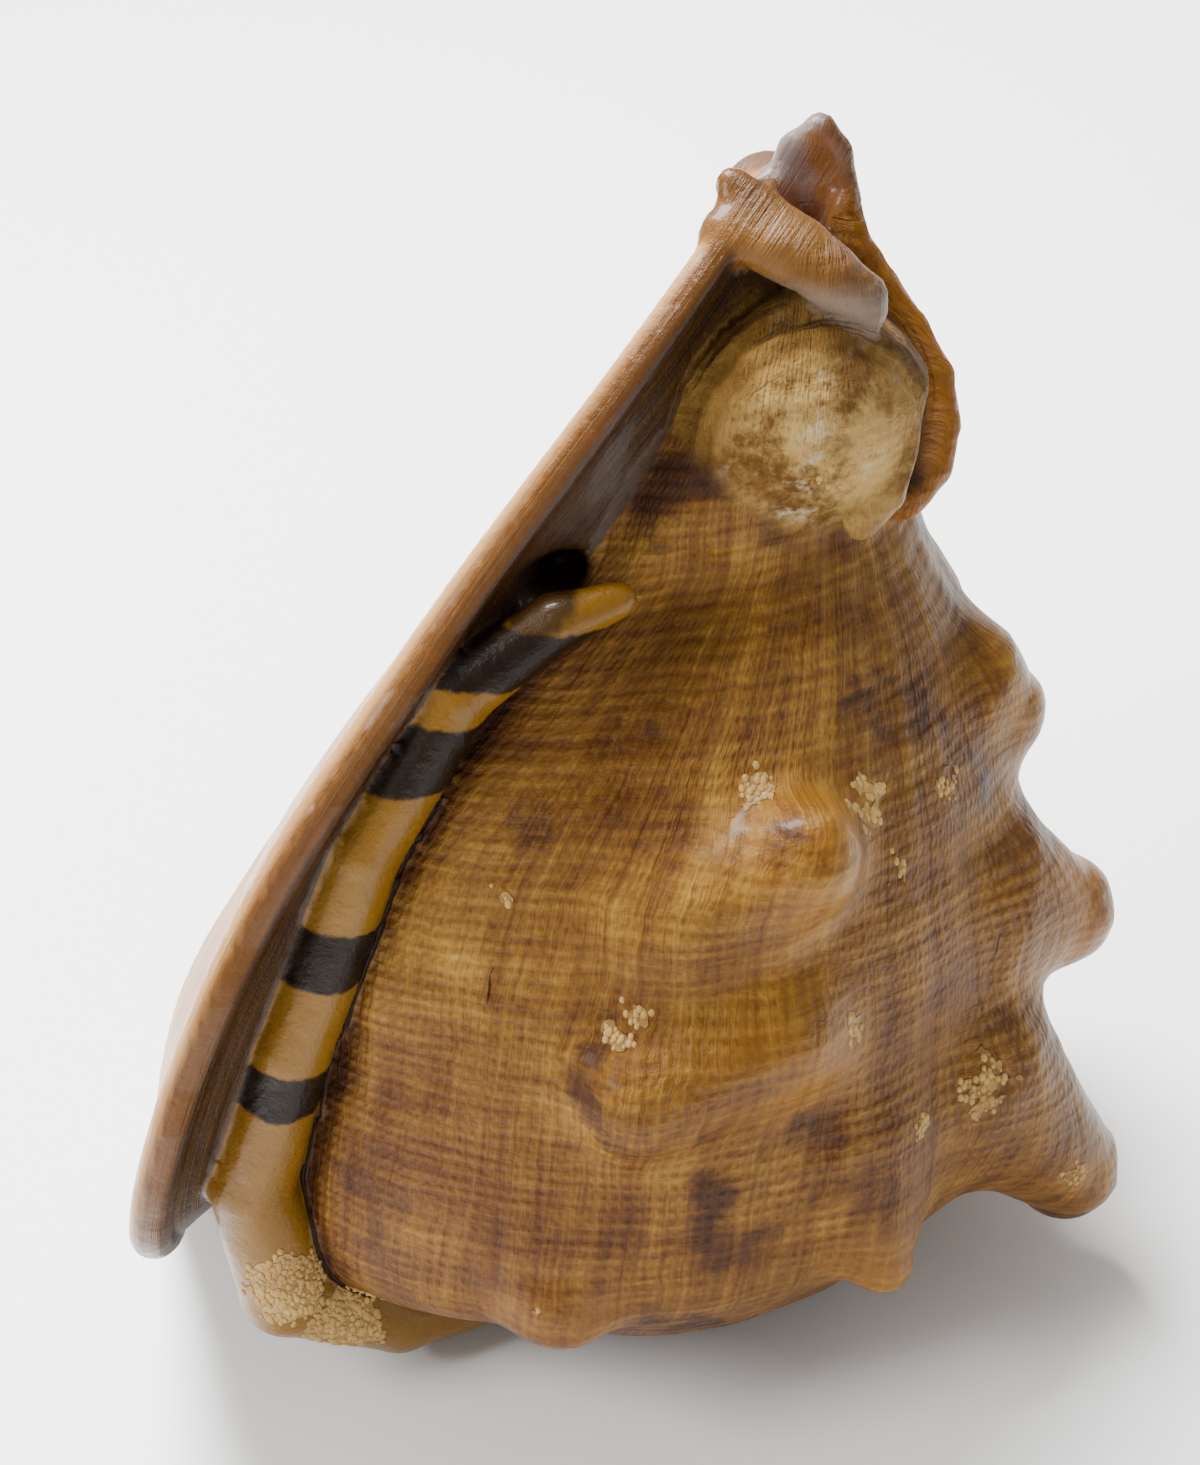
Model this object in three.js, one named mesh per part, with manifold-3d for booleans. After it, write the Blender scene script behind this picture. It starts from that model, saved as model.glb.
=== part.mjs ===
import * as THREE from 'three';
import { mergeVertices } from 'three/addons/utils/BufferGeometryUtils.js';
import Module from 'manifold-3d';

// A horned helmet shell, modelled in millimetres. The shell is one grown piece, so it is one mesh.
//
// The shape is written in the shell's own frame: +X is dorsal, -X is the flat side with the
// aperture, +Y is the outer lip's side, -Y the parietal side, and +Z runs to the siphonal canal.
// A field that is negative inside the shell is built from smoothly joined forms, meshed,
// leaned into its resting attitude and cut flat where it touches the ground.

// ---- Driving dimensions -----------------------------------------------------------------

const CELL = 6.78;
const SAMPLED_BOX = { min: [-140, -104, -44], max: [96, 112, 236] };
const LEAN_RIGHT = 9.5;
const LEAN_BACK = 7.2;
const WORN_DEPTH = 1.6;
const BLOCK_SIZE = 600;
const FACE_SWELL = 0.35;

const NECK_CENTRE_X = -8;
const BODY_CENTRE_X = -20;
const CENTRE_Y = 2;
const BODY_TOP = 186;
const PARIETAL_BULGE = 0.09;
const LIP_BULGE = 0.12;

const SHIELD_THICKNESS = 9;
const RIM_RADIUS = 5;
const WALL = 10;

// Height along the axis against the body whorl's radius.
const BODY_RADIUS = [[-20, 66], [30, 75], [58, 74], [104, 64], [135, 42], [150, 28], [165, 22], [200, 14]];

// Angle round the axis against the height of the shoulder's edge.
const SHOULDER_HEIGHT = [[-150, 6], [-120, 15], [-90, 27], [-60, 34], [-20, 38], [30, 40], [90, 36],
  [140, 22], [180, 10]];
const SPIRE_CENTRE = [-16, -16];
const SPIRE_RADIUS = 74;
const SPIRE_APEX = -4.8;
const SPIRE_STEP = 2.4;
const SPIRE_GROWTH = 0.16;

// Height along the axis against the ventral face, on the parietal side and at the outer lip.
const PARIETAL_FACE = [[-30, -102], [25, -102], [66, -95], [104, -82], [143, -61], [184, -36], [214, -17]];
const LIP_FACE = [[-30, -118], [-4, -116], [20, -106], [42, -95], [84, -70], [126, -45], [165, -26], [222, -4]];

// The shield's outline as [y, z], round from the canal down the parietal side and up the lip.
const SHIELD_OUTLINE = [[-8, 216], [-25, 199], [-45, 168], [-67, 122], [-74, 80], [-74, 44], [-67, 25],
  [-52, 12], [-24, 0], [14, -12], [50, -11], [70, 8], [76, 40], [74, 84], [60, 126], [42, 166], [24, 198],
  [12, 212]];

// Height along the axis against the y of the aperture's middle.
const APERTURE_LINE = [[-10, 36], [20, 32], [60, 27], [120, 21], [170, 12], [200, 3], [220, 1]];
const APERTURE_LOW = 34;

// Height along the axis against the aperture's half width and depth.
const SLIT_HALF_WIDTH = [[0, 6], [60, 8], [150, 7], [200, 4.5]];
const SLIT_DEPTH = [[130, 46], [200, 12]];

// Ropes of [x, y, z, radius].
const VARIX = [[-31, -38, 151, 3], [-42, -45, 147, 5.5], [-57, -55, 134, 7], [-70, -62, 105, 8],
  [-79, -64, 66, 8], [-86, -63, 34, 9], [-78, -56, 10, 9], [-58, -44, -1, 8], [-34, -34, 4, 7]];
const CANAL_COLUMN = [[-34, 8, 112, 32], [-20, 4, 160, 23], [-12, 2, 192, 12]];
const CANAL_FOLD = [[-19, -9, 210, 4], [-9, -10, 203, 4.5], [2, -10, 194, 4], [9, -8, 185, 3.5]];
const CANAL_BROW = [[-26, -22, 199, 4], [-12, -22, 197, 5], [1, -18, 190, 4], [9, -11, 182, 3.5]];
const CANAL_WALL = [[-11, 12, 214, 4], [-6, 11, 202, 4], [3, 9, 189, 4], [11, 7, 180, 4], [17, 5, 171, 4.5],
  [18, 3, 163, 4.5], [12, 1, 154, 6]];
const CANAL_BACK = [[-14, 18, 204, 8], [-2, 18, 188, 9], [6, 14, 172, 10], [4, 8, 154, 13]];
const CANAL_GROOVE = [[-28, 2, 218, 6], [-14, 1, 212, 6], [-3, 0, 200, 5], [6, -1, 188, 4.5], [13, -2, 176, 3.5], [15, -3, 166, 3]];
const UMBILICUS = [[-39, -56, 151, 7], [-40, -36, 152, 5]];
const FASCIOLE = { centre: [-7, -10, 175], radii: [23, 22, 20] };

// Each horn or knob runs from a broad root to a blunt tip, both [x, y, z, radius].
const HORNS = [
  [[-31, -60, 38, 15], [-29, -78, 24, 5]],
  [[18, -50, 50, 15], [28, -60, 33, 4.5]],
  [[40, -28, 56, 18], [70, -20, 27, 6.5]],
  [[42, 24, 54, 18], [57, 42, 20.5, 6.5]],
  [[16, 58, 50, 16], [28, 76, 20, 6]],
  [[-30, 70, 44, 15], [-30, 86, 10.5, 5.5]],
  [[40, -16, 85, 16], [59, -10, 78, 6]],
  [[32, 32, 90, 15], [48, 48, 85, 5.5]],
  [[-8, 56, 86, 15], [-6, 76, 82, 5]],
  [[34, -5, 120, 10], [42, -4, 116, 5]],
  [[20, 28, 120, 10], [28, 38, 118, 4.5]],
  [[-22, 46, 114, 10], [-20, 56, 112, 4.5]],
  [[-22, -68, 68, 11], [-2, -60, 74, 10]],
  [[-6, -62, 108, 10], [8, -54, 112, 9]],
];

// ---- Small maths ------------------------------------------------------------------------

const clamp = (value, low, high) => Math.min(Math.max(value, low), high);

function smoothMin(a, b, blend) {
  const overlap = Math.max(blend - Math.abs(a - b), 0) / blend;
  return Math.min(a, b) - overlap * overlap * blend / 4;
}

function smoothMax(a, b, blend) {
  return -smoothMin(-a, -b, blend);
}

// A value eased through a short list of [position, value] pairs.
function ease(pairs, position) {
  const last = pairs.length - 1;
  if (position <= pairs[0][0]) return pairs[0][1];
  if (position >= pairs[last][0]) return pairs[last][1];
  let step = 0;
  while (position > pairs[step + 1][0]) step += 1;
  const slopeAt = (i) => {
    const a = pairs[Math.max(i - 1, 0)];
    const b = pairs[Math.min(i + 1, last)];
    return (b[1] - a[1]) / (b[0] - a[0]);
  };
  const [start, from] = pairs[step];
  const [end, to] = pairs[step + 1];
  const span = end - start;
  const t = (position - start) / span;
  const hermite = (1 + 2 * t) * (1 - t) ** 2 * from + t * t * (3 - 2 * t) * to;
  return hermite + span * (t * (1 - t) ** 2 * slopeAt(step) + t * t * (t - 1) * slopeAt(step + 1));
}

// The shoulder's edge closes on itself, so its list is wrapped round before it is eased.
const SHOULDER_RING = [
  [SHOULDER_HEIGHT[SHOULDER_HEIGHT.length - 1][0] - 360, SHOULDER_HEIGHT[SHOULDER_HEIGHT.length - 1][1]],
  ...SHOULDER_HEIGHT,
];

// Distance to a cone-sided capsule between two [x, y, z, radius] ends.
function capsule(x, y, z, a, b) {
  const along = [b[0] - a[0], b[1] - a[1], b[2] - a[2]];
  const offset = [x - a[0], y - a[1], z - a[2]];
  const length = along[0] ** 2 + along[1] ** 2 + along[2] ** 2;
  const dot = offset[0] * along[0] + offset[1] * along[1] + offset[2] * along[2];
  const t = clamp(dot / length, 0, 1);
  const away = Math.hypot(offset[0] - t * along[0], offset[1] - t * along[1], offset[2] - t * along[2]);
  return away - (a[3] + t * (b[3] - a[3]));
}

function rope(x, y, z, points, blend = 3) {
  let nearest = capsule(x, y, z, points[0], points[1]);
  for (let i = 1; i < points.length - 1; i += 1) {
    nearest = smoothMin(nearest, capsule(x, y, z, points[i], points[i + 1]), blend);
  }
  return nearest;
}

function ellipsoid(x, y, z, { centre, radii }) {
  const reach = Math.hypot((x - centre[0]) / radii[0], (y - centre[1]) / radii[1], (z - centre[2]) / radii[2]);
  return (reach - 1) * Math.min(...radii);
}

// Signed distance to the closed outline in the y-z plane, negative inside.
function insideOutline(y, z) {
  let nearest = Infinity;
  let inside = false;
  SHIELD_OUTLINE.forEach((a, i) => {
    const b = SHIELD_OUTLINE[(i + 1) % SHIELD_OUTLINE.length];
    const dy = b[0] - a[0];
    const dz = b[1] - a[1];
    const t = clamp(((y - a[0]) * dy + (z - a[1]) * dz) / (dy * dy + dz * dz), 0, 1);
    nearest = Math.min(nearest, Math.hypot(y - a[0] - t * dy, z - a[1] - t * dz));
    const crosses = (a[1] > z) !== (b[1] > z) && y < a[0] + dy * (z - a[1]) / dz;
    if (crosses) inside = !inside;
  });
  return inside ? -nearest : nearest;
}

// ---- The forms of the shell -------------------------------------------------------------

// The low spire's underside: it rises to the shoulder in a coil of shallow steps.
function spireSurface(x, y, shoulder) {
  const outX = x - SPIRE_CENTRE[0];
  const outY = y - SPIRE_CENTRE[1];
  const distance = Math.hypot(outX, outY);
  const turns = Math.log(Math.max(distance, 2) / SPIRE_RADIUS) / (2 * Math.PI * SPIRE_GROWTH);
  const phase = 2 * Math.PI * turns - Math.atan2(outY, outX);
  const faded = clamp(distance / 12, 0, 1) * clamp((64 - distance) / 12, 0, 1);
  return SPIRE_APEX + (shoulder - SPIRE_APEX) * (distance / SPIRE_RADIUS) ** 1.3 + SPIRE_STEP * Math.cos(phase) * faded;
}

// The body whorl is a bell that swells towards the parietal side and the outer lip, closed
// below by a low stepped spire.
function bodyWhorl(x, y, z) {
  const centreX = NECK_CENTRE_X + (BODY_CENTRE_X - NECK_CENTRE_X) * clamp((150 - z) / 46, 0, 1);
  const angle = Math.atan2(y - CENTRE_Y, x - centreX);
  const distance = Math.hypot(x - centreX, y - CENTRE_Y);
  const parietal = Math.max(Math.cos(angle + 2.2), 0) ** 2;
  const lip = Math.max(Math.cos(angle - 2.0), 0) ** 2;
  const radius = ease(BODY_RADIUS, z) * (1 + PARIETAL_BULGE * parietal + LIP_BULGE * lip);
  const spire = spireSurface(x, y, ease(SHOULDER_RING, angle * 180 / Math.PI));
  const open = smoothMax((distance - radius) * 0.86, (spire - z) * 0.9, 14);
  const capped = smoothMax(open, z - BODY_TOP, 14);
  return smoothMax(capped, (shieldFace(y, z) - 3 - x) * 0.9, 8);
}

function shieldFace(y, z) {
  const towardsLip = clamp((y + 60) / 120, 0, 1);
  const eased = towardsLip * towardsLip * (3 - 2 * towardsLip);
  return ease(PARIETAL_FACE, z) * (1 - eased) + ease(LIP_FACE, z) * eased;
}

// The flat parietal shield and outer lip, with a thick rolled rim all round.
function shield(x, y, z) {
  const depth = (x - shieldFace(y, z)) * 0.9;
  const outline = insideOutline(y, z);
  const plate = smoothMax(Math.abs(depth) - SHIELD_THICKNESS / 2, outline, 4);
  const rim = Math.hypot(depth, outline + RIM_RADIUS * 0.4) - RIM_RADIUS;
  return smoothMin(plate, rim, 3);
}

// The narrow aperture opens into a cavity that turns away inside the last whorl.
function aperture(x, y, z, body) {
  const depth = x - shieldFace(y, z);
  const teeth = 1.6 * Math.cos(z * 2 * Math.PI / 14) * clamp((14 - depth) / 8, 0, 1);
  const middle = ease(APERTURE_LINE, z);
  const across = Math.abs(y - middle) - ease(SLIT_HALF_WIDTH, z) - (y > middle ? teeth : -0.4 * teeth);
  const slit = Math.max(across, APERTURE_LOW - z, depth - ease(SLIT_DEPTH, z));
  const hollow = ellipsoid(x, y, z, { centre: [-40, 38, 74], radii: [44, 30, 62] });
  return Math.min(slit, smoothMax(hollow, body + WALL, 6));
}

function shell(x, y, z) {
  const body = bodyWhorl(x, y, z);
  let field = body;
  for (const [root, tip] of HORNS) {
    field = smoothMin(field, capsule(x, y, z, root, tip), 9);
  }
  field = smoothMin(field, rope(x, y, z, CANAL_COLUMN), 12);
  field = smoothMin(field, ellipsoid(x, y, z, FASCIOLE), 6);
  field = smoothMin(field, shield(x, y, z), 8);
  field = smoothMin(field, rope(x, y, z, VARIX), 12);
  field = smoothMin(field, smoothMin(rope(x, y, z, CANAL_FOLD), rope(x, y, z, CANAL_BROW), 9), 4);
  field = smoothMin(field, rope(x, y, z, CANAL_BACK), 6);
  field = smoothMin(field, rope(x, y, z, CANAL_WALL), 4);
  field = smoothMax(field, -rope(x, y, z, CANAL_GROOVE), 2);
  field = smoothMax(field, -rope(x, y, z, UMBILICUS), 3);
  return smoothMax(field, -aperture(x, y, z, body), 3);
}

// ---- Meshing ----------------------------------------------------------------------------

// The corners, edges and faces of one cell. A corner's number holds its place as three bits.
const CORNERS = [0, 1, 2, 3, 4, 5, 6, 7].map((n) => [n & 1, (n >> 1) & 1, (n >> 2) & 1]);
const EDGES = [0, 1, 2].flatMap((axis) => CORNERS.map((corner, n) => [n, n | (1 << axis), corner[axis]])
  .filter(([, , ahead]) => ahead === 0).map(([from, to]) => [from, to]));
const FACES = [0, 1, 2].flatMap((axis) => [0, 1].map((side) => {
  const onFace = (n) => CORNERS[n][axis] === side;
  return EDGES.map((edge, id) => id).filter((id) => EDGES[id].every(onFace));
}));

function edgeBetween(from, to) {
  return EDGES.findIndex((edge) => edge[0] === from && edge[1] === to);
}

// Sorts the crossed edges of a cell into the separate sheets that pass through it. On a face
// with four crossings the two outside corners are kept apart.
function sheetsOf(corner) {
  const sheet = EDGES.map(([m, n], id) => ((corner[m] < 0) === (corner[n] < 0) ? -1 : id));
  const join = (a, b) => {
    const from = sheet[b];
    const to = sheet[a];
    sheet.forEach((value, id) => {
      if (value === from) sheet[id] = to;
    });
  };
  for (const face of FACES) {
    const crossed = face.filter((id) => sheet[id] >= 0);
    if (crossed.length === 2) join(crossed[0], crossed[1]);
    if (crossed.length === 4) {
      CORNERS.forEach((place, n) => {
        const meeting = crossed.filter((id) => EDGES[id].includes(n));
        if (meeting.length === 2 && corner[n] >= 0) join(meeting[0], meeting[1]);
      });
    }
  }
  return sheet;
}

// Dual meshing: a cell gets one vertex for each sheet that passes through it, and each grid
// edge that the surface crosses gets a quad between the four cells round it.
function meshField(field, box, cell) {
  const size = box.min.map((low, axis) => Math.ceil((box.max[axis] - low) / cell) + 1);
  const place = (i, axis) => box.min[axis] + i * cell;
  const strides = [1, size[0], size[0] * size[1]];
  const values = new Float64Array(size[0] * size[1] * size[2]);
  for (let k = 0; k < size[2]; k += 1) {
    for (let j = 0; j < size[1]; j += 1) {
      for (let i = 0; i < size[0]; i += 1) {
        values[i + j * strides[1] + k * strides[2]] = field(place(i, 0), place(j, 1), place(k, 2)) - FACE_SWELL;
      }
    }
  }
  const vertices = [];
  const vertexOf = new Map();
  for (let k = 0; k < size[2] - 1; k += 1) {
    for (let j = 0; j < size[1] - 1; j += 1) {
      for (let i = 0; i < size[0] - 1; i += 1) {
        const here = i + j * strides[1] + k * strides[2];
        const corner = CORNERS.map((c) => values[here + c[0] + c[1] * strides[1] + c[2] * strides[2]]);
        if (corner.every((value) => value < 0) || corner.every((value) => value >= 0)) continue;
        const sheet = sheetsOf(corner);
        for (const root of new Set(sheet.filter((value) => value >= 0))) {
          const crossed = EDGES.filter((edge, id) => sheet[id] === root);
          const sum = [0, 0, 0];
          for (const [m, n] of crossed) {
            const t = corner[m] / (corner[m] - corner[n]);
            sum.forEach((_, axis) => {
              sum[axis] += (CORNERS[m][axis] + t * (CORNERS[n][axis] - CORNERS[m][axis])) / crossed.length;
            });
          }
          sheet.forEach((value, id) => {
            if (value === root) vertexOf.set(here * 12 + id, vertices.length / 3);
          });
          vertices.push(place(i + sum[0], 0), place(j + sum[1], 1), place(k + sum[2], 2));
        }
      }
    }
  }
  const gap = (a, b) => Math.hypot(...[0, 1, 2].map((axis) => vertices[3 * a + axis] - vertices[3 * b + axis]));
  const triangles = [];
  for (let here = 0; here < values.length; here += 1) {
    for (let axis = 0; axis < 3; axis += 1) {
      const ahead = here + strides[axis];
      if (ahead >= values.length || values[here] < 0 === values[ahead] < 0) continue;
      const u = (axis + 1) % 3;
      const v = (axis + 2) % 3;
      const quad = [[1, 1], [0, 1], [0, 0], [1, 0]].map(([backU, backV]) => {
        const from = (backU << u) | (backV << v);
        const cellIndex = here - backU * strides[u] - backV * strides[v];
        return vertexOf.get(cellIndex * 12 + edgeBetween(from, from | (1 << axis)));
      });
      if (quad.includes(undefined)) continue;
      const [a, b, c, d] = values[here] < 0 ? quad : quad.reverse();
      if (gap(a, c) < gap(b, d)) triangles.push(a, b, c, a, c, d);
      else triangles.push(a, b, d, b, c, d);
    }
  }
  return { vertices: new Float32Array(vertices), triangles: new Uint32Array(triangles) };
}

// Keeps the outer sheet and leaves out the small pockets that a coarse grid pinches off where
// a groove closes.
function outerSheet({ vertices, triangles }) {
  const parent = Array.from({ length: vertices.length / 3 }, (_, i) => i);
  const rootOf = (i) => {
    let root = i;
    while (parent[root] !== root) root = parent[root];
    parent[i] = root;
    return root;
  };
  for (let t = 0; t < triangles.length; t += 3) {
    parent[rootOf(triangles[t + 1])] = rootOf(triangles[t]);
    parent[rootOf(triangles[t + 2])] = rootOf(triangles[t]);
  }
  const sizes = new Map();
  triangles.forEach((i) => sizes.set(rootOf(i), (sizes.get(rootOf(i)) ?? 0) + 1));
  const outer = [...sizes.keys()].reduce((a, b) => (sizes.get(a) > sizes.get(b) ? a : b));
  return { vertices, triangles: triangles.filter((i) => rootOf(i) === outer) };
}

// ---- Solids -----------------------------------------------------------------------------

const wasm = await Module();
wasm.setup();

function toSolid(geometry) {
  const bare = geometry.clone();
  bare.deleteAttribute('normal');
  bare.deleteAttribute('uv');
  const merged = mergeVertices(bare, 1e-4);
  return new wasm.Manifold(new wasm.Mesh({
    numProp: 3,
    vertProperties: new Float32Array(merged.attributes.position.array),
    triVerts: new Uint32Array(merged.index.array),
  }));
}

function toGeometry(solid) {
  const mesh = solid.getMesh();
  const geometry = new THREE.BufferGeometry();
  geometry.setAttribute('position', new THREE.BufferAttribute(new Float32Array(mesh.vertProperties), 3));
  geometry.setIndex(new THREE.BufferAttribute(new Uint32Array(mesh.triVerts), 1));
  geometry.computeVertexNormals();
  return geometry;
}

function shellGeometry() {
  const { vertices, triangles } = outerSheet(meshField(shell, SAMPLED_BOX, CELL));
  const geometry = new THREE.BufferGeometry();
  geometry.setAttribute('position', new THREE.BufferAttribute(vertices, 3));
  geometry.setIndex(new THREE.BufferAttribute(triangles, 1));
  geometry.rotateY(THREE.MathUtils.degToRad(LEAN_RIGHT));
  geometry.rotateX(THREE.MathUtils.degToRad(-LEAN_BACK));
  return geometry;
}

// Cuts off the lowest sliver, which leaves the small worn flats that the shell stands on.
function wearFlat(geometry) {
  geometry.computeBoundingBox();
  const floor = geometry.boundingBox.min.z + WORN_DEPTH;
  geometry.translate(0, 0, -floor);
  const block = new THREE.BoxGeometry(BLOCK_SIZE, BLOCK_SIZE, BLOCK_SIZE);
  block.translate(0, 0, -BLOCK_SIZE / 2);
  return toGeometry(toSolid(geometry).subtract(toSolid(block)));
}

function centreOnBase(geometry) {
  geometry.computeBoundingBox();
  const { min, max } = geometry.boundingBox;
  geometry.translate(-(min.x + max.x) / 2, -(min.y + max.y) / 2, 0);
  return geometry;
}

const shellMaterial = new THREE.MeshStandardMaterial({ color: 0xa8743a, roughness: 0.45, metalness: 0 });

const shellMesh = new THREE.Mesh(centreOnBase(wearFlat(shellGeometry())), shellMaterial);
shellMesh.name = 'shell';

const helmetShell = new THREE.Group();
helmetShell.add(shellMesh);

export default helmetShell;
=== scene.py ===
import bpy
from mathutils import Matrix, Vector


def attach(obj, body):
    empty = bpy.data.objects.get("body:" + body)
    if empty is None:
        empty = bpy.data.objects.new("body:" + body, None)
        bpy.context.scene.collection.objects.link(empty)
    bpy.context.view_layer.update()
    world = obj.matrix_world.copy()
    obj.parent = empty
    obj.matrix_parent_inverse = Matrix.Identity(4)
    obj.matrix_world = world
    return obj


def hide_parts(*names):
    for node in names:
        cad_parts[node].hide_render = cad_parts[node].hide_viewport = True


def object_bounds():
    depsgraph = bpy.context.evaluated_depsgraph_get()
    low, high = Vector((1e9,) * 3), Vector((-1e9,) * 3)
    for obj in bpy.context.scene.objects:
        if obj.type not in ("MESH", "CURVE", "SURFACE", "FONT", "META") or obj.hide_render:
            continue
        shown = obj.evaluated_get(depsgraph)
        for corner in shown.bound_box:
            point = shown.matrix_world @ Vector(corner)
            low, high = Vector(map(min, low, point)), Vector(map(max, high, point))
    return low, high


bl_info = {
    "name": "Horned Helmet Shell",
    "version": (1, 0, 0),
    "blender": (4, 5, 0),
    "location": "3D View > Sidebar > Helmet Shell",
    "description": "Grows a horned helmet shell, crusts it with lime and lights it on a pale table",
    "category": "Object",
}

import math

import bpy
import numpy as np
from bpy.props import FloatProperty, FloatVectorProperty, PointerProperty
from mathutils import Color, Matrix, Vector

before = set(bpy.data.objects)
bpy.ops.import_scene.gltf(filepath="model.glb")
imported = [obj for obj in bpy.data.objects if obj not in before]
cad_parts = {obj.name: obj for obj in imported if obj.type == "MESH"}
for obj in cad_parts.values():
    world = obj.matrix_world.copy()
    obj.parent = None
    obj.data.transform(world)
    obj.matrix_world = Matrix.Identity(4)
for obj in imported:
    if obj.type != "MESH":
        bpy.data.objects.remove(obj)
CAD_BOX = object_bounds()

MM = 0.001
CORNER_CUT = 0.22


def rounded(loop):
    """Cuts the corners of a closed loop of points."""
    cut = []
    for a, b in zip(loop, loop[1:] + loop[:1]):
        cut.append(tuple((1 - CORNER_CUT) * p + CORNER_CUT * q for p, q in zip(a, b)))
        cut.append(tuple(CORNER_CUT * p + (1 - CORNER_CUT) * q for p, q in zip(a, b)))
    return tuple(cut)


# ---- The shell's own frame, in millimetres ---------------------------------------------------
# +X is dorsal, -X the flat side with the aperture, +Y the outer lip's side, -Y the parietal
# side, and +Z runs to the siphonal canal. The leans are in degrees.

LEAN_RIGHT = 9.5
LEAN_BACK = 7.2
ORIGIN_ON_GROUND = (21.78, -7.02, -1.25)
SAMPLED_LOW = (-128.0, -92.0, -22.0)
SAMPLED_HIGH = (84.0, 98.0, 226.0)

NECK_CENTRE_X = -8.0
NECK_BASE = 150.0
NECK_FADE = 46.0
BODY_CENTRE_X = -20.0
CENTRE_Y = 2.0
BODY_TOP = 186.0
BODY_SLOPE = 0.86
FACE_SLOPE = 0.9
FACE_FADE = 60.0
PARIETAL_ANGLE = -2.2
PARIETAL_BULGE = 0.09
LIP_ANGLE = 2.0
LIP_BULGE = 0.12
SHIELD_THICKNESS = 5.6
FLARE_SLOPE = 0.8
FLARE_DEPTH = 14.0
WALL = 10.0
SPIRE_CENTRE = (-16.0, -16.0)
SPIRE_RADIUS = 74.0
SPIRE_APEX = -4.8
SPIRE_STEP = 2.4
SPIRE_GROWTH = 0.16
SPIRE_HOLLOWNESS = 1.3
APERTURE_LOW = 34.0
TOOTH_SPACING = 14.0
TOOTH_HEIGHT = 1.6
TOOTH_REACH = 14.0

# Height along the axis against the body whorl's radius.
BODY_RADIUS = ((-20, 66), (30, 75), (58, 74), (104, 64), (135, 42), (150, 28), (165, 22), (200, 14))

# Angle round the axis in degrees against the height of the shoulder's edge.
SHOULDER_HEIGHT = ((-180, 10), (-150, 6), (-120, 15), (-90, 27), (-60, 34), (-20, 38), (30, 40),
                   (90, 36), (140, 22), (180, 10))

# Height along the axis against the ventral face, on the parietal side and at the outer lip.
PARIETAL_FACE = ((-30, -102), (25, -102), (66, -95), (104, -82), (143, -61), (184, -37), (214, -20))
LIP_FACE = ((-30, -116), (-4, -114), (20, -103), (42, -91), (84, -65), (126, -39), (165, -21), (222, -3))

# The shield's outline as (y, z), round from the canal down the parietal side and up the lip.
SHIELD_OUTLINE = ((-13, 212), (-26, 198), (-45, 168), (-67, 122), (-74, 80), (-74, 44), (-67, 25),
                  (-52, 12), (-24, 0), (14, -12), (50, -11), (70, 8), (76, 40), (74, 84), (60, 126),
                  (42, 166), (24, 198), (10, 207))
SHIELD_CURVE = rounded(rounded(SHIELD_OUTLINE))

# Height along the axis against the aperture's middle, half width and depth.
APERTURE_LINE = ((-10, 36), (20, 32), (60, 27), (120, 21), (170, 12), (200, 3), (220, 1))
SLIT_HALF_WIDTH = ((34, 1.0), (40, 4.0), (50, 6.5), (62, 8), (150, 7), (200, 4.5))
SLIT_DEPTH = ((130, 46), (200, 12))

# Ellipsoids as a centre and three radii: the cavity behind the aperture, and the dome below the
# canal with its root.
HOLLOW = ((-40, 38, 74), (44, 30, 62))
FASCIOLE = ((-7, -11, 174.5), (23.5, 23.5, 20.5))
FASCIOLE_ROOT = ((-21, -16, 161), (17, 17, 15))

# Height along the axis against the rolled rim's radius.
RIM_RADIUS = ((20, 3.1), (80, 3.4), (150, 3.7), (195, 3.2), (214, 2.6))

# Ropes of (x, y, z, radius).
VARIX = ((-32, -46, 149.5, 3), (-42, -50, 146, 4.8), (-56.5, -55, 134, 6), (-69.5, -60.5, 105, 6.4),
         (-79, -62.5, 66, 6.6), (-85, -60, 36, 8), (-78, -55, 10, 9), (-58, -44, -1, 8), (-34, -34, 4, 7))
INNER_CALLUS = ((-34, -24, 148, 12), (-43, -32, 132, 15), (-51, -41, 110, 16), (-58, -46, 80, 16))
CANAL_COLUMN = ((-34, 8, 112, 32), (-20, 4, 160, 23), (-12, 2, 192, 12))
CANAL_FOLD = ((-21, -13, 211.5, 2.6), (-8, -15.5, 204.5, 2.6), (3, -17, 197, 2.2))
CANAL_BROW = ((-22.5, -18, 204, 3.2), (-14, -20, 202.5, 3.6), (-4, -20.5, 198.5, 3.4), (3, -19, 193.5, 2.6))
CANAL_LEAF = ((-13, 10, 203, 3.4), (-10.5, 10, 211.5, 3), (-7, 9, 216.3, 2.3), (-4, 9.5, 212, 3),
              (-1.5, 9, 203, 3.4))
CANAL_WALL = ((-7, 7.5, 215, 1.8), (-3, 6.5, 206, 2.4), (1.5, 5, 198.5, 2.8), (7, 4, 191.5, 2.8),
              (13, 3, 185, 2.8), (18.5, 0, 178, 2.8), (20.5, -3, 170, 3), (19.5, -7, 163, 3.2),
              (15, -10, 158, 3.6))
CANAL_LINING = ((-7, 11.5, 210, 4), (-6, 14, 200, 6.5), (1, 12, 191, 6), (8, 9, 183, 5), (14, 4, 175, 5),
                (16.5, 1, 168, 4.6), (15, -3, 161, 4.6))
CANAL_BACK = ((-14, 20, 200, 8), (-2, 19, 186, 9), (6, 14, 171, 10), (4, 8, 154, 13))
CANAL_LEDGE = ((9, -13, 187, 2.2), (12, -16, 179, 2.6), (13, -19, 171, 2.8), (11, -23, 164, 2.8),
               (7, -25, 159, 3))
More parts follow.
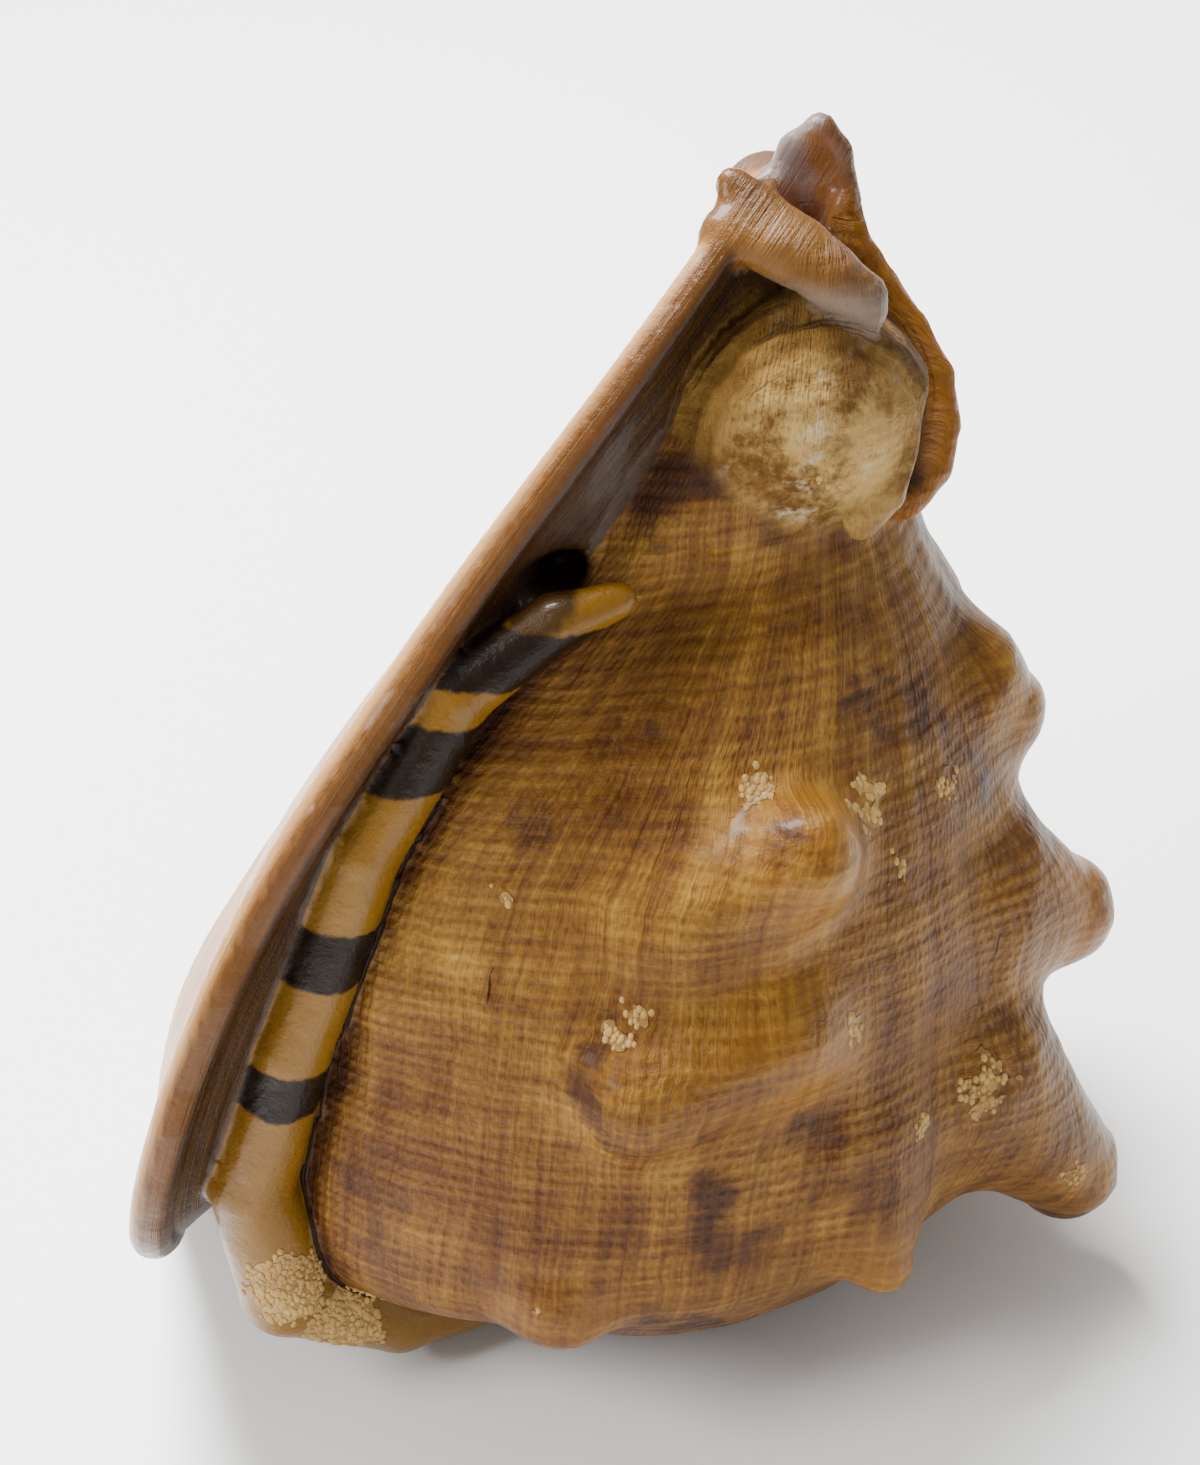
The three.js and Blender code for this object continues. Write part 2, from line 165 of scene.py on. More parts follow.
CANAL_GROOVE = ((-30, -2, 214, 7.5), (-17, -2, 208.5, 6.4), (-8, -3, 201, 4.8), (2, -4, 193.5, 4),
                (9, -5, 187, 3.6), (14.5, -7, 179, 3.2), (16.5, -10, 171, 3.2), (15.5, -14, 164, 3))
BROW_GAP = ((-25, -26, 193, 3), (-13, -30, 194.5, 2.2), (-3, -29, 191, 1.4))
UMBILICUS = ((-36, -46, 161, 1.5), (-45, -53, 150, 4.6), (-42, -34, 150, 4))

# Each horn or knob runs from a broad root to a blunt tip, both (x, y, z, radius).
HORNS = (
    ((-31, -60, 38, 15), (-29, -74.5, 27.5, 6.6)),
    ((18, -50, 50, 15), (28, -60, 33, 4.5)),
    ((40, -28, 56, 18), (63.6, -21, 32.5, 10.4)),
    ((42, 24, 54, 18), (57, 42, 20.5, 6.5)),
    ((16, 58, 50, 16), (28, 76, 20, 6)),
    ((-30, 70, 44, 15), (-30, 84.5, 11, 5.5)),
    ((40, -16, 86, 16), (54.8, -10, 81, 10.6)),
    ((32, 32, 90, 15), (48, 48, 85, 5.5)),
    ((-8, 56, 86, 15), (-6, 76, 82, 5)),
    ((33, -5, 122, 11), (39.2, -4, 118, 7.8)),
    ((20, 28, 120, 10), (28, 38, 118, 4.5)),
    ((-22, 46, 114, 10), (-20, 56, 112, 4.5)),
    ((-19, -75, 72, 9), (3, -63.5, 80.5, 9.2)),
    ((-16, -61.5, 99, 9), (3, -58.5, 112.5, 9.8)),
)

# The varix's dark bars, as (height along the axis, half length).
VARIX_BARS = ((141, 4.8), (124, 6.0), (87, 5.6), (59.5, 4.6))

# Lime crusts as (x, y, z, radius). Those wider than BROAD_CRUST are caked solid.
CRUSTS = ((-7, -55, 121, 7), (13, -46, 118, 6), (20, -48, 107, 4), (27, -33, 117, 5), (-23, -73, 85, 6),
          (16, -61, 83, 4), (43, -45, 64, 9), (64, -33, 39, 4), (-32, -82, 30, 5), (-45, -64, 102, 3),
          (30, -56, 60, 4), (0, -33, 168, 6), (-76, -66, 16, 12), (-66, -59, 5, 12))
BROAD_CRUST = 10.0
CAKED_COVER = 1.5
SPARSE_COVER = 0.75

# Hairline cracks as pairs of (x, y, z).
CRACKS = (((-26, -77, 61), (-25.5, -77, 49)), ((-46, -68, 91), (-46, -69, 83)),
          ((41, -34, 97), (41, -35, 82)), ((-45, -55, 138), (-15, -30, 148.5)))

# ---- Fixed colours, as linear red, green and blue --------------------------------------------

# The body whorl's colours from dark to light, each after its place on the scale of tones.
BODY_TONES = (
    (0.00, (0.008, 0.002, 0.0005)), (0.24, (0.036, 0.010, 0.001)), (0.42, (0.088, 0.028, 0.0015)),
    (0.60, (0.165, 0.070, 0.007)), (0.78, (0.285, 0.143, 0.020)), (1.00, (0.460, 0.285, 0.070)),
)
BLOTCH_BROWN = (0.026, 0.009, 0.005)
# The knobs' amber: partly their own colour, partly a painted highlight.
KNOB_AMBER_HIGHLIGHT = (0.21, 0.072, 0.001)
NECK_DARK = (0.028, 0.010, 0.001)
NECK_TAN = (0.105, 0.048, 0.007)
VARIX_HONEY = (0.205, 0.100, 0.007)
VARIX_STAIN = (0.090, 0.032, 0.0008)
BAR_WORN = (0.016, 0.008, 0.002)
RIM_BROWN = (0.090, 0.028, 0.0015)
RIM_STAIN = (0.155, 0.042, 0.001)
# The rim's low end by the table, darkened as painted shade.
RIM_FOOT_SHADE = (0.080, 0.026, 0.004)
LIP_ROSE = (0.120, 0.066, 0.042)
BACK_STREAK = (0.060, 0.024, 0.004)
FACE_CREAM = (0.40, 0.19, 0.055)
FACE_PEACH = (0.27, 0.085, 0.010)
FACE_STAIN = (0.18, 0.052, 0.005)
FACE_BROWN = (0.10, 0.026, 0.003)
TOOTH_PALE = (0.52, 0.34, 0.15)
LIME_STAIN = (0.110, 0.046, 0.005)
LIME_CHALK = (0.50, 0.40, 0.26)
LIME_RUST = (0.13, 0.045, 0.004)
LIME_DIRT = (0.105, 0.044, 0.004)
LIME_TAN = (0.24, 0.125, 0.024)
LAMELLA_DARK = (0.028, 0.010, 0.001)
FOLD_ORANGE = (0.150, 0.060, 0.008)
FOLD_BROWN = (0.070, 0.022, 0.0015)
FOLD_END = (0.22, 0.17, 0.13)
LEAF_DARK = (0.030, 0.010, 0.004)
LEAF_ORANGE = (0.17, 0.055, 0.002)
LEAF_BROWN = (0.07, 0.020, 0.001)
WALL_ORANGE = (0.22, 0.080, 0.004)
CRUST_TAN = (0.16, 0.075, 0.012)
CRUST_SHADE = (0.30, 0.165, 0.055)
# Painted shade for the canal's groove, the umbilicus, the hollows and the aperture's slit; the cracks and
# specks keep their own dark colours.
CANAL_SHADE = (0.030, 0.011, 0.006)
UMBILICUS_SHADE = (0.010, 0.004, 0.002)
CRACK_DARK = (0.014, 0.004, 0.001)
HOLLOW_SHADE = (0.014, 0.005, 0.002)
APERTURE_SHADE = (0.12, 0.035, 0.010)
SPECK_DARK = (0.016, 0.006, 0.003)
TABLE_WHITE = (0.96, 0.96, 0.95)
ROOM_WHITE = (1.0, 0.99, 0.97)

# Noise scales per metre, and spacings of the fine spiral cords and their beads in millimetres.
CLOUD_SCALE = 18.0
MOTTLE_SCALE = 60.0
GRAIN_SCALE = 500.0
CRUST_SCALE = 210.0
CORD_SPACING = 2.3
BEAD_SPACING = 1.7
RING_SPACING = 3.4
RING_HEIGHT = 4.5
CRUST_SEED = 7
LUMP_SEED = 3


# ---- Small maths -----------------------------------------------------------------------------

def clamp(value, low=0.0, high=1.0):
    return np.minimum(np.maximum(value, low), high)


def smooth_min(a, b, blend):
    """The smaller of two distances, with a fillet about as wide as blend where they meet."""
    overlap = np.maximum(blend - np.abs(a - b), 0) / blend
    return np.minimum(a, b) - overlap * overlap * blend / 4


def smooth_max(a, b, blend):
    return -smooth_min(-a, -b, blend)


def fade(value, start, end):
    """0 at start, 1 at end, eased at both."""
    t = clamp((value - start) / (end - start))
    return t * t * (3 - 2 * t)


def ease(pairs, position):
    """A value eased through a short list of (position, value) pairs."""
    at, value = np.array(pairs, dtype=float).T
    slope = np.empty(len(at))
    slope[1:-1] = (value[2:] - value[:-2]) / (at[2:] - at[:-2])
    slope[0] = (value[1] - value[0]) / (at[1] - at[0])
    slope[-1] = (value[-1] - value[-2]) / (at[-1] - at[-2])
    position = clamp(position, at[0], at[-1])
    step = np.clip(np.searchsorted(at, position, side="right") - 1, 0, len(at) - 2)
    span = at[step + 1] - at[step]
    t = (position - at[step]) / span
    straight = (1 + 2 * t) * (1 - t) ** 2 * value[step] + t * t * (3 - 2 * t) * value[step + 1]
    return straight + span * (t * (1 - t) ** 2 * slope[step] + t * t * (t - 1) * slope[step + 1])


def capsule(x, y, z, a, b):
    """Distance to a cone-sided capsule between two (x, y, z, radius) ends."""
    ax, ay, az, ar = a
    bx, by, bz, br = b
    dx, dy, dz = bx - ax, by - ay, bz - az
    t = clamp(((x - ax) * dx + (y - ay) * dy + (z - az) * dz) / (dx * dx + dy * dy + dz * dz))
    away = np.sqrt((x - ax - t * dx) ** 2 + (y - ay - t * dy) ** 2 + (z - az - t * dz) ** 2)
    return away - (ar + t * (br - ar))


def rope(x, y, z, points, blend=0.8):
    """Distance to a chain of capsules through a list of (x, y, z, radius)."""
    nearest = capsule(x, y, z, points[0], points[1])
    for a, b in zip(points[1:], points[2:]):
        nearest = smooth_min(nearest, capsule(x, y, z, a, b), blend)
    return nearest


def ellipsoid(x, y, z, shape):
    """About the distance to an ellipsoid, given as a centre and three radii."""
    centre, radii = shape
    reach = np.sqrt(((x - centre[0]) / radii[0]) ** 2 + ((y - centre[1]) / radii[1]) ** 2
                    + ((z - centre[2]) / radii[2]) ** 2)
    return (reach - 1) * min(radii)


def inside_outline(y, z):
    """Signed distance to the shield's outline in the y-z plane, negative inside."""
    nearest = np.inf
    inside = False
    for a, b in zip(SHIELD_CURVE, SHIELD_CURVE[1:] + SHIELD_CURVE[:1]):
        dy, dz = b[0] - a[0], b[1] - a[1]
        t = clamp(((y - a[0]) * dy + (z - a[1]) * dz) / (dy * dy + dz * dz))
        nearest = np.minimum(nearest, np.hypot(y - a[0] - t * dy, z - a[1] - t * dz))
        spans = (a[1] > z) != (b[1] > z)
        inside = inside ^ (spans & (y < a[0] + dy * (z - a[1]) / (dz if dz else 1.0)))
    return np.where(inside, -nearest, nearest)


# ---- The forms of the shell ------------------------------------------------------------------

def body_angle(x, y, z):
    """Angle round the axis, and distance from it; the axis shifts between the neck and the body."""
    centre_x = NECK_CENTRE_X + (BODY_CENTRE_X - NECK_CENTRE_X) * clamp((NECK_BASE - z) / NECK_FADE)
    return np.arctan2(y - CENTRE_Y, x - centre_x), np.hypot(x - centre_x, y - CENTRE_Y)


def spire_surface(x, y, shoulder):
    """The low spire's underside: it rises to the shoulder in a coil of shallow steps."""
    out_x, out_y = x - SPIRE_CENTRE[0], y - SPIRE_CENTRE[1]
    distance = np.hypot(out_x, out_y)
    turns = np.log(np.maximum(distance, 2) / SPIRE_RADIUS) / (2 * math.pi * SPIRE_GROWTH)
    phase = 2 * math.pi * turns - np.arctan2(out_y, out_x)
    faded = clamp(distance / 12) * clamp((64 - distance) / 12)
    rise = (shoulder - SPIRE_APEX) * (distance / SPIRE_RADIUS) ** SPIRE_HOLLOWNESS
    return SPIRE_APEX + rise + SPIRE_STEP * np.cos(phase) * faded


def shield_face(y, z):
    """The x of the flat ventral face, which turns from the parietal side's to the outer lip's."""
    lip = fade(y, -FACE_FADE, FACE_FADE)
    return ease(PARIETAL_FACE, z) * (1 - lip) + ease(LIP_FACE, z) * lip


def body_whorl(x, y, z):
    """The body whorl is a bell that swells towards the parietal side and the outer lip."""
    angle, distance = body_angle(x, y, z)
    parietal = np.maximum(np.cos(angle - PARIETAL_ANGLE), 0) ** 2
    lip = np.maximum(np.cos(angle - LIP_ANGLE), 0) ** 2
    radius = ease(BODY_RADIUS, z) * (1 + PARIETAL_BULGE * parietal + LIP_BULGE * lip)
    spire = spire_surface(x, y, ease(SHOULDER_HEIGHT, np.degrees(angle)))
    opened = smooth_max((distance - radius) * BODY_SLOPE, (spire - z) * FACE_SLOPE, 14)
    capped = smooth_max(opened, z - BODY_TOP, 14)
    return smooth_max(capped, (shield_face(y, z) - 3 - x) * FACE_SLOPE, 8)


def shield(x, y, z):
    """The parietal shield and outer lip: thin at its rolled rim, thicker where it leaves the body."""
    depth = (x - shield_face(y, z)) * FACE_SLOPE
    outline = inside_outline(y, z)
    back = depth - SHIELD_THICKNESS / 2 - FLARE_SLOPE * clamp(-outline - 2, 0, FLARE_DEPTH)
    plate = smooth_max(smooth_max(back, -depth - SHIELD_THICKNESS / 2, 2), outline, 3)
    radius = ease(RIM_RADIUS, z)
    rim = np.hypot(depth, outline + radius * 0.4) - radius
    return smooth_min(plate, rim, 1.5)


def aperture(x, y, z, body):
    """The narrow aperture opens into a cavity that turns away inside the last whorl."""
    depth = x - shield_face(y, z)
    teeth = TOOTH_HEIGHT * np.cos(z * 2 * math.pi / TOOTH_SPACING) * clamp((TOOTH_REACH - depth) / 8)
    middle = ease(APERTURE_LINE, z)
    across = np.abs(y - middle) - ease(SLIT_HALF_WIDTH, z) - np.where(y > middle, teeth, -0.4 * teeth)
    slit = np.maximum(np.maximum(across, APERTURE_LOW - z), depth - ease(SLIT_DEPTH, z))
    hollow = ellipsoid(x, y, z, HOLLOW)
    return np.minimum(slit, smooth_max(hollow, body + WALL, 6))


def canal(x, y, z):
    """The siphonal canal: the parietal fold over it and the outer lip's curled wall beside it."""
    fold = smooth_min(rope(x, y, z, CANAL_FOLD), rope(x, y, z, CANAL_BROW), 8)
    leaf = smooth_min(rope(x, y, z, CANAL_LEAF), rope(x, y, z, CANAL_WALL), 3)
    leaf = smooth_min(leaf, rope(x, y, z, CANAL_LINING), 4)
    return fold, leaf


def trunk(x, y, z, body):
    """The body whorl with its horns and knobs, the neck and the dome under the canal."""
    field = body
    for root, tip in HORNS:
        field = smooth_min(field, capsule(x, y, z, root, tip), 9)
    field = smooth_min(field, rope(x, y, z, CANAL_COLUMN), 12)
    field = smooth_min(field, rope(x, y, z, INNER_CALLUS), 12)
    field = smooth_min(field, ellipsoid(x, y, z, FASCIOLE_ROOT), 9)
    field = smooth_min(field, ellipsoid(x, y, z, FASCIOLE), 6)
    return smooth_max(field, (shield_face(y, z) - 2 - x) * FACE_SLOPE, 4)


def shell_field(x, y, z):
    """Negative inside the shell, about the distance to its surface."""
    body = body_whorl(x, y, z)
    field = trunk(x, y, z, body)
    field = smooth_max(field, -rope(x, y, z, BROW_GAP), 2)
    field = smooth_min(field, shield(x, y, z), 3)
    field = smooth_max(field, -rope(x, y, z, UMBILICUS), 2)
    field = smooth_min(field, rope(x, y, z, VARIX), 1.5)
    fold, leaf = canal(x, y, z)
    field = smooth_min(field, rope(x, y, z, CANAL_BACK), 6)
    field = smooth_max(field, -rope(x, y, z, CANAL_GROOVE), 2)
    field = smooth_min(smooth_min(field, fold, 2), leaf, 2)
    field = smooth_min(field, rope(x, y, z, CANAL_LEDGE), 2)
    return smooth_max(field, -aperture(x, y, z, body), 3)


# ---- Meshing the field -----------------------------------------------------------------------

def sample_field(cell):
    """The field's values on a grid of the given spacing, with the grid's three axes."""
    axes = [np.arange(low, high + cell, cell) for low, high in zip(SAMPLED_LOW, SAMPLED_HIGH)]
    x, y = np.meshgrid(axes[0], axes[1], indexing="ij")
    return axes, np.stack([shell_field(x, y, z) for z in axes[2]], axis=-1)


def surface_nets(axes, values):
    """One vertex in each cell that the surface crosses, one quad across each crossed grid edge."""
    inside = values < 0
    corners = [(i, j, k) for i in (0, 1) for j in (0, 1) for k in (0, 1)]

    def shifted(grid, corner):
        return grid[tuple(slice(c, n - 1 + c) for c, n in zip(corner, grid.shape))]

    count = sum(shifted(inside, c).astype(np.int8) for c in corners)
    cells = np.argwhere((count > 0) & (count < 8))
    corner_value = {c: values[tuple((cells + c).T)] for c in corners}
    total = np.zeros((len(cells), 3))
    crossings = np.zeros(len(cells))
    for a in corners:
        for axis in range(3):
            if a[axis]:
                continue
            b = tuple(c + (n == axis) for n, c in enumerate(a))
            va, vb = corner_value[a], corner_value[b]
            crossed = (va < 0) != (vb < 0)
            t = np.where(crossed, va / np.where(crossed, va - vb, 1), 0)
            place = np.array(a) + t[:, None] * np.eye(3)[axis]
            total += place * crossed[:, None]
            crossings += crossed
    low = np.array([axis[0] for axis in axes])
    cell = axes[0][1] - axes[0][0]
    points = low + (cells + total / crossings[:, None]) * cell
    number = np.full([n - 1 for n in values.shape], -1, dtype=np.int64)
    number[tuple(cells.T)] = np.arange(len(cells))
    quads = []
    for axis in range(3):
        u, v = (axis + 1) % 3, (axis + 2) % 3
        ahead = np.roll(inside, -1, axis)
        crossed = np.argwhere(inside != ahead)
        crossed = crossed[(crossed.min(axis=1) > 0) & (crossed < np.array(values.shape) - 1).all(axis=1)]
        step_u, step_v = np.eye(3, dtype=int)[u], np.eye(3, dtype=int)[v]
        ring = [crossed - step_u - step_v, crossed - step_v, crossed, crossed - step_u]
        quad = np.stack([number[tuple(c.T)] for c in ring], axis=1)
        flipped = ~inside[tuple(crossed.T)]
        quad[flipped] = quad[flipped][:, ::-1]
        quads.append(quad)
    return points, np.concatenate(quads)


def slope_of(points, reach=0.4):
    """The field's slope at each point, which points out of the shell."""
    steps = np.eye(3) * reach
    ahead = [shell_field(*(points + step).T) - shell_field(*(points - step).T) for step in steps]
    return np.stack(ahead, axis=1) / (2 * reach)


def settle_on_surface(points, passes=2):
    """Slides the vertices down the field's slope until they lie on the surface."""
    for _ in range(passes):
        slope = slope_of(points)
        steep = np.maximum((slope ** 2).sum(axis=1), 0.2)
        step = shell_field(*points.T) / steep
        points = points - slope * np.clip(step, -1, 1)[:, None]
    return points


def resting_lean():
    """The turn from the shell's own frame to its resting attitude."""
    right = Matrix.Rotation(math.radians(LEAN_RIGHT), 3, "Y")
    return Matrix.Rotation(math.radians(-LEAN_BACK), 3, "X") @ right


def to_frame(points):
    """Leans the shell into its resting attitude, in metres, inside the CAD model's box."""
    placed = (points @ np.array(resting_lean()).T + ORIGIN_ON_GROUND) * MM
    low, high = np.array(CAD_BOX[0]), np.array(CAD_BOX[1])
    return np.clip(placed, low + 1e-5 * (low != 0), high - 1e-5)


def make_mesh(name, points, quads):
    mesh = bpy.data.meshes.new(name)
    mesh.vertices.add(len(points))
    mesh.vertices.foreach_set("co", points.astype(np.float32).ravel())
    mesh.loops.add(quads.size)
    mesh.loops.foreach_set("vertex_index", quads.astype(np.int32).ravel())
    mesh.polygons.add(len(quads))
    mesh.polygons.foreach_set("loop_start", np.arange(0, quads.size, 4, dtype=np.int32))
    mesh.update(calc_edges=True)
    mesh.validate()
    mesh.shade_smooth()
    return mesh


def add_attribute(mesh, name, values):
    layer = mesh.attributes.new(name, "FLOAT", "POINT")
    layer.data.foreach_set("value", np.asarray(values, dtype=np.float32).ravel())


def distance_to_tips(x, y, z):
    """Distance to the nearest horn's or knob's rounded tip."""
    distances = []
    for _, (tip_x, tip_y, tip_z, radius) in HORNS:
        distances.append(np.sqrt((x - tip_x) ** 2 + (y - tip_y) ** 2 + (z - tip_z) ** 2) - radius)
    return np.stack(distances).min(axis=0)


def crust_cover(x, y, z):
    """How thickly lime covers the surface, 0 away from the crusts."""
    covers = []
    for spot_x, spot_y, spot_z, radius in CRUSTS:
        distance = np.sqrt((x - spot_x) ** 2 + (y - spot_y) ** 2 + (z - spot_z) ** 2)
        thickness = CAKED_COVER if radius > BROAD_CRUST else SPARSE_COVER
        covers.append(fade(distance, radius, radius * 0.4) * thickness)
    return np.stack(covers).max(axis=0)


def describe_surface(mesh, points, slope):
    """Stores, for each vertex, which part of the shell it lies on, for the relief and the colours."""
    x, y, z = points.T
    normal = slope / np.linalg.norm(slope, axis=1)[:, None]
    angle, _ = body_angle(x, y, z)
    body = body_whorl(x, y, z)
    whole = trunk(x, y, z, body)
    varix = rope(x, y, z, VARIX)
    plate = shield(x, y, z)
    fold, leaf = canal(x, y, z)
    depth = x - shield_face(y, z)
    # open_air and filled measure how open or enclosed each point is; the colours paint shade into the
    # enclosed ones.
    open_air = shell_field(*(points + 6 * normal).T) / 6
    filled = -shell_field(*(points - 6 * normal).T) / 6
    slit = fade(aperture(x, y, z, body), 3.0, 1.0)
    within = slit * fade(depth, 0, 5)
    features = {
        "growth": angle * 62,
        "spiral": z - 6.3 * angle,
        "height": z,
        "depth": depth,
        "dome_turn": np.hypot(x + 2, z - 172),
        "varix_edge": np.minimum(whole, plate) - varix,
        "seam": varix - whole,
        "by_varix": fade(np.abs(varix), 4.0, 2.0),
        "lip_side": fade(y, -25, 15),
        "bar": np.stack([half - np.abs(z - at) for at, half in VARIX_BARS]).max(axis=0),
        "shield_edge": np.minimum(whole, varix) - plate,
        "on_body": fade(whole - np.minimum(plate, varix), 1.5, -1.5) * (1 - within),
        "on_face": fade(-normal[:, 0], 0.35, 0.75) * fade(plate, 3, 1) * fade(depth, 6, 0),
        "on_dome": fade(ellipsoid(x, y, z, FASCIOLE), 3.0, 0.6) * fade(z, 150, 158) * (1 - slit),
        "on_ledge": fade(rope(x, y, z, CANAL_LEDGE), 1.6, 0.3),
        "on_neck": fade(z, 132, 150) * fade(rope(x, y, z, CANAL_COLUMN), 9, 3) * (1 - slit),
        "on_fold": fade(fold, 1.6, 0.3),
        "on_leaf": fade(leaf, 1.6, 0.3),
        "on_wall": fade(rope(x, y, z, CANAL_WALL), 1.2, 0.2),
        "outward": fade(normal[:, 0], -0.1, 0.5),
        # in_canal, in_umbilicus and in_aperture mark recesses that the colours darken as painted shade.
        "in_canal": fade(rope(x, y, z, CANAL_GROOVE), 1.6, 0.4),
        "in_umbilicus": fade(rope(x, y, z, UMBILICUS), 1.4, 0.2),
        "on_knob": fade(distance_to_tips(x, y, z), 12, 0),
        "in_aperture": within,
        "hollow": clamp(1 - open_air),
        "ridge": clamp(1 - filled),
        "crack": np.stack([capsule(x, y, z, (*a, 0), (*b, 0)) for a, b in CRACKS]).min(axis=0),
        "crust": crust_cover(x, y, z),
    }
    for name, values in features.items():
        add_attribute(mesh, name, values)


# ---- Node helpers ----------------------------------------------------------------------------

class Value:
    """A number socket that adds Math nodes when it is used in an expression."""

    def __init__(self, net, socket):
        self.net = net
        self.socket = socket

    def _maths(self, operation, *numbers, clamped=False):
        settings = {"operation": operation, "use_clamp": clamped}
        return self.net.add("ShaderNodeMath", settings, dict(enumerate(numbers))).value(0)

    def __add__(self, other):
        return self._maths("ADD", self, other)

    __radd__ = __add__

    def __sub__(self, other):
        return self._maths("SUBTRACT", self, other)

    def __rsub__(self, other):
        return self._maths("SUBTRACT", other, self)

    def __mul__(self, other):
        return self._maths("MULTIPLY", self, other)

    __rmul__ = __mul__

    def __truediv__(self, other):
        return self._maths("DIVIDE", self, other)

    def clamped(self):
        return self._maths("ADD", self, 0.0, clamped=True)

    def sine(self):
        return self._maths("SINE", self)

    def size(self):
        return self._maths("ABSOLUTE", self)

    def largest(self, other):
        return self._maths("MAXIMUM", self, other)

    def between(self, start, end):
        """0 at start, 1 at end, eased at both."""
        settings = {"interpolation_type": "SMOOTHSTEP"}
        inputs = {0: self, 1: start, 2: end, 3: 0.0, 4: 1.0}
        return self.net.add("ShaderNodeMapRange", settings, inputs).value(0)


class Node:
    """A node whose outputs are read by place or by name."""

    def __init__(self, net, node):
        self.net = net
        self.node = node

    def value(self, output=0):
        return Value(self.net, self.node.outputs[output])

    def out(self, output=0):
        return self.node.outputs[output]


class Net:
    """Adds nodes to a tree: a type, its settings, and the values or links of its sockets."""

    def __init__(self, tree):
        self.tree = tree

    def add(self, kind, settings=None, inputs=None):
        node = self.tree.nodes.new(kind)
        for name, setting in (settings or {}).items():
            if name == "stops":
                self._stops(node.color_ramp, setting)
            else:
                setattr(node, name, setting)
        for key, given in (inputs or {}).items():
            self.feed(node.inputs[key], given)
        return Node(self, node)

    def feed(self, socket, given):
        if isinstance(given, Value):
            given = given.socket
        if isinstance(given, Node):
            given = given.out()
        if isinstance(given, bpy.types.NodeSocket):
            self.tree.links.new(given, socket)
        else:
            socket.default_value = given

    def _stops(self, ramp, stops):
        while len(ramp.elements) < len(stops):
            ramp.elements.new(0.5)
        for element, (position, colour) in zip(ramp.elements, stops):
            element.position = position
            element.color = (*colour, 1.0)

    def mix(self, factor, a, b):
        """Colour a where factor is 0, colour b where it is 1."""
        settings = {"data_type": "RGBA", "blend_type": "MIX", "clamp_factor": True}
        colours = [(*c, 1.0) if isinstance(c, (tuple, Color)) else c for c in (a, b)]
        return self.add("ShaderNodeMix", settings, {0: factor, 6: colours[0], 7: colours[1]}).out(2)

    def vector(self, x, y=0.0, z=0.0):
        return self.add("ShaderNodeCombineXYZ", None, {0: x, 1: y, 2: z}).out()

    def noise(self, where, scale, detail=3.0, roughness=0.55):
        inputs = {"Vector": where, "Scale": scale, "Detail": detail, "Roughness": roughness}
        return self.add("ShaderNodeTexNoise", None, inputs).value(0)

    def swing(self, where, scale, detail=3.0, roughness=0.55):
        """Noise that swings about 0, from about -1 to 1."""
        return (self.noise(where, scale, detail, roughness) - 0.5) * 3.2


# ---- Sizes and colours that a user can change ------------------------------------------------

class ShellSizes(bpy.types.PropertyGroup):
    """How finely the shell is meshed and how strong its relief is."""

    cell: FloatProperty(
        name="Mesh cell", description="Spacing of the shell's mesh in millimetres",
        default=1.62, min=1.0, max=8.0)
    rib_height: FloatProperty(
        name="Rib height", description="Height of the spiral cords",
        default=0.00016, unit="LENGTH", precision=5)
    rib_spacing: FloatProperty(
        name="Rib spacing", description="Spacing of the spiral cords in millimetres", default=6.4)
    growth_height: FloatProperty(
        name="Growth line height", description="Height of the growth waves",
        default=0.00045, unit="LENGTH", precision=5)
    lump_height: FloatProperty(
        name="Lump height", description="Height of the broad unevenness",
        default=0.0009, unit="LENGTH", precision=5)
    crust_density: FloatProperty(
        name="Crust density", description="Lime lumps per square metre", default=1000000.0)
    crust_smallest: FloatProperty(
        name="Smallest lump", description="Radius of the smallest lime lump",
        default=0.0003, unit="LENGTH", precision=5)
    crust_largest: FloatProperty(
        name="Largest lump", description="Radius of the largest lime lump",
        default=0.00075, unit="LENGTH", precision=5)


class ShellColours(bpy.types.PropertyGroup):
    """The shell's main colours."""

    ochre: FloatVectorProperty(
        name="Ochre", description="Glazed ochre of the varix", subtype="COLOR",
        default=(0.130, 0.052, 0.0010))
    bar: FloatVectorProperty(
        name="Bars", description="Dark bars of the varix", subtype="COLOR",
        default=(0.004, 0.0012, 0.0005))
    rim: FloatVectorProperty(
        name="Rim", description="Glazed rim of the shield", subtype="COLOR",
        default=(0.120, 0.045, 0.0055))
    shield: FloatVectorProperty(
        name="Shield back", description="Dark back of the shield", subtype="COLOR",
        default=(0.011, 0.0035, 0.0006))
    lime: FloatVectorProperty(
        name="Lime", description="Pale worn lime, crusts and dust", subtype="COLOR",
        default=(0.43, 0.27, 0.085))
    lilac: FloatVectorProperty(
        name="Lilac", description="Grey-lilac of the canal", subtype="COLOR",
        default=(0.170, 0.125, 0.110))


class StageSettings(bpy.types.PropertyGroup):
    """The lights round the table."""

    light: FloatProperty(name="Light", description="Strength of the lights and of the room", default=1.0)


# ---- Trees and materials to fill -------------------------------------------------------------

def blank_tree(name, sizes):
    """A geometry node tree with a named input for each size, and the net that fills it."""
    tree = bpy.data.node_groups.new(name, "GeometryNodeTree")
    tree.interface.new_socket("Geometry", in_out="INPUT", socket_type="NodeSocketGeometry")
    for size in sizes:
        tree.interface.new_socket(size, in_out="INPUT", socket_type="NodeSocketFloat")
    tree.interface.new_socket("Geometry", in_out="OUTPUT", socket_type="NodeSocketGeometry")
    return tree, Net(tree)


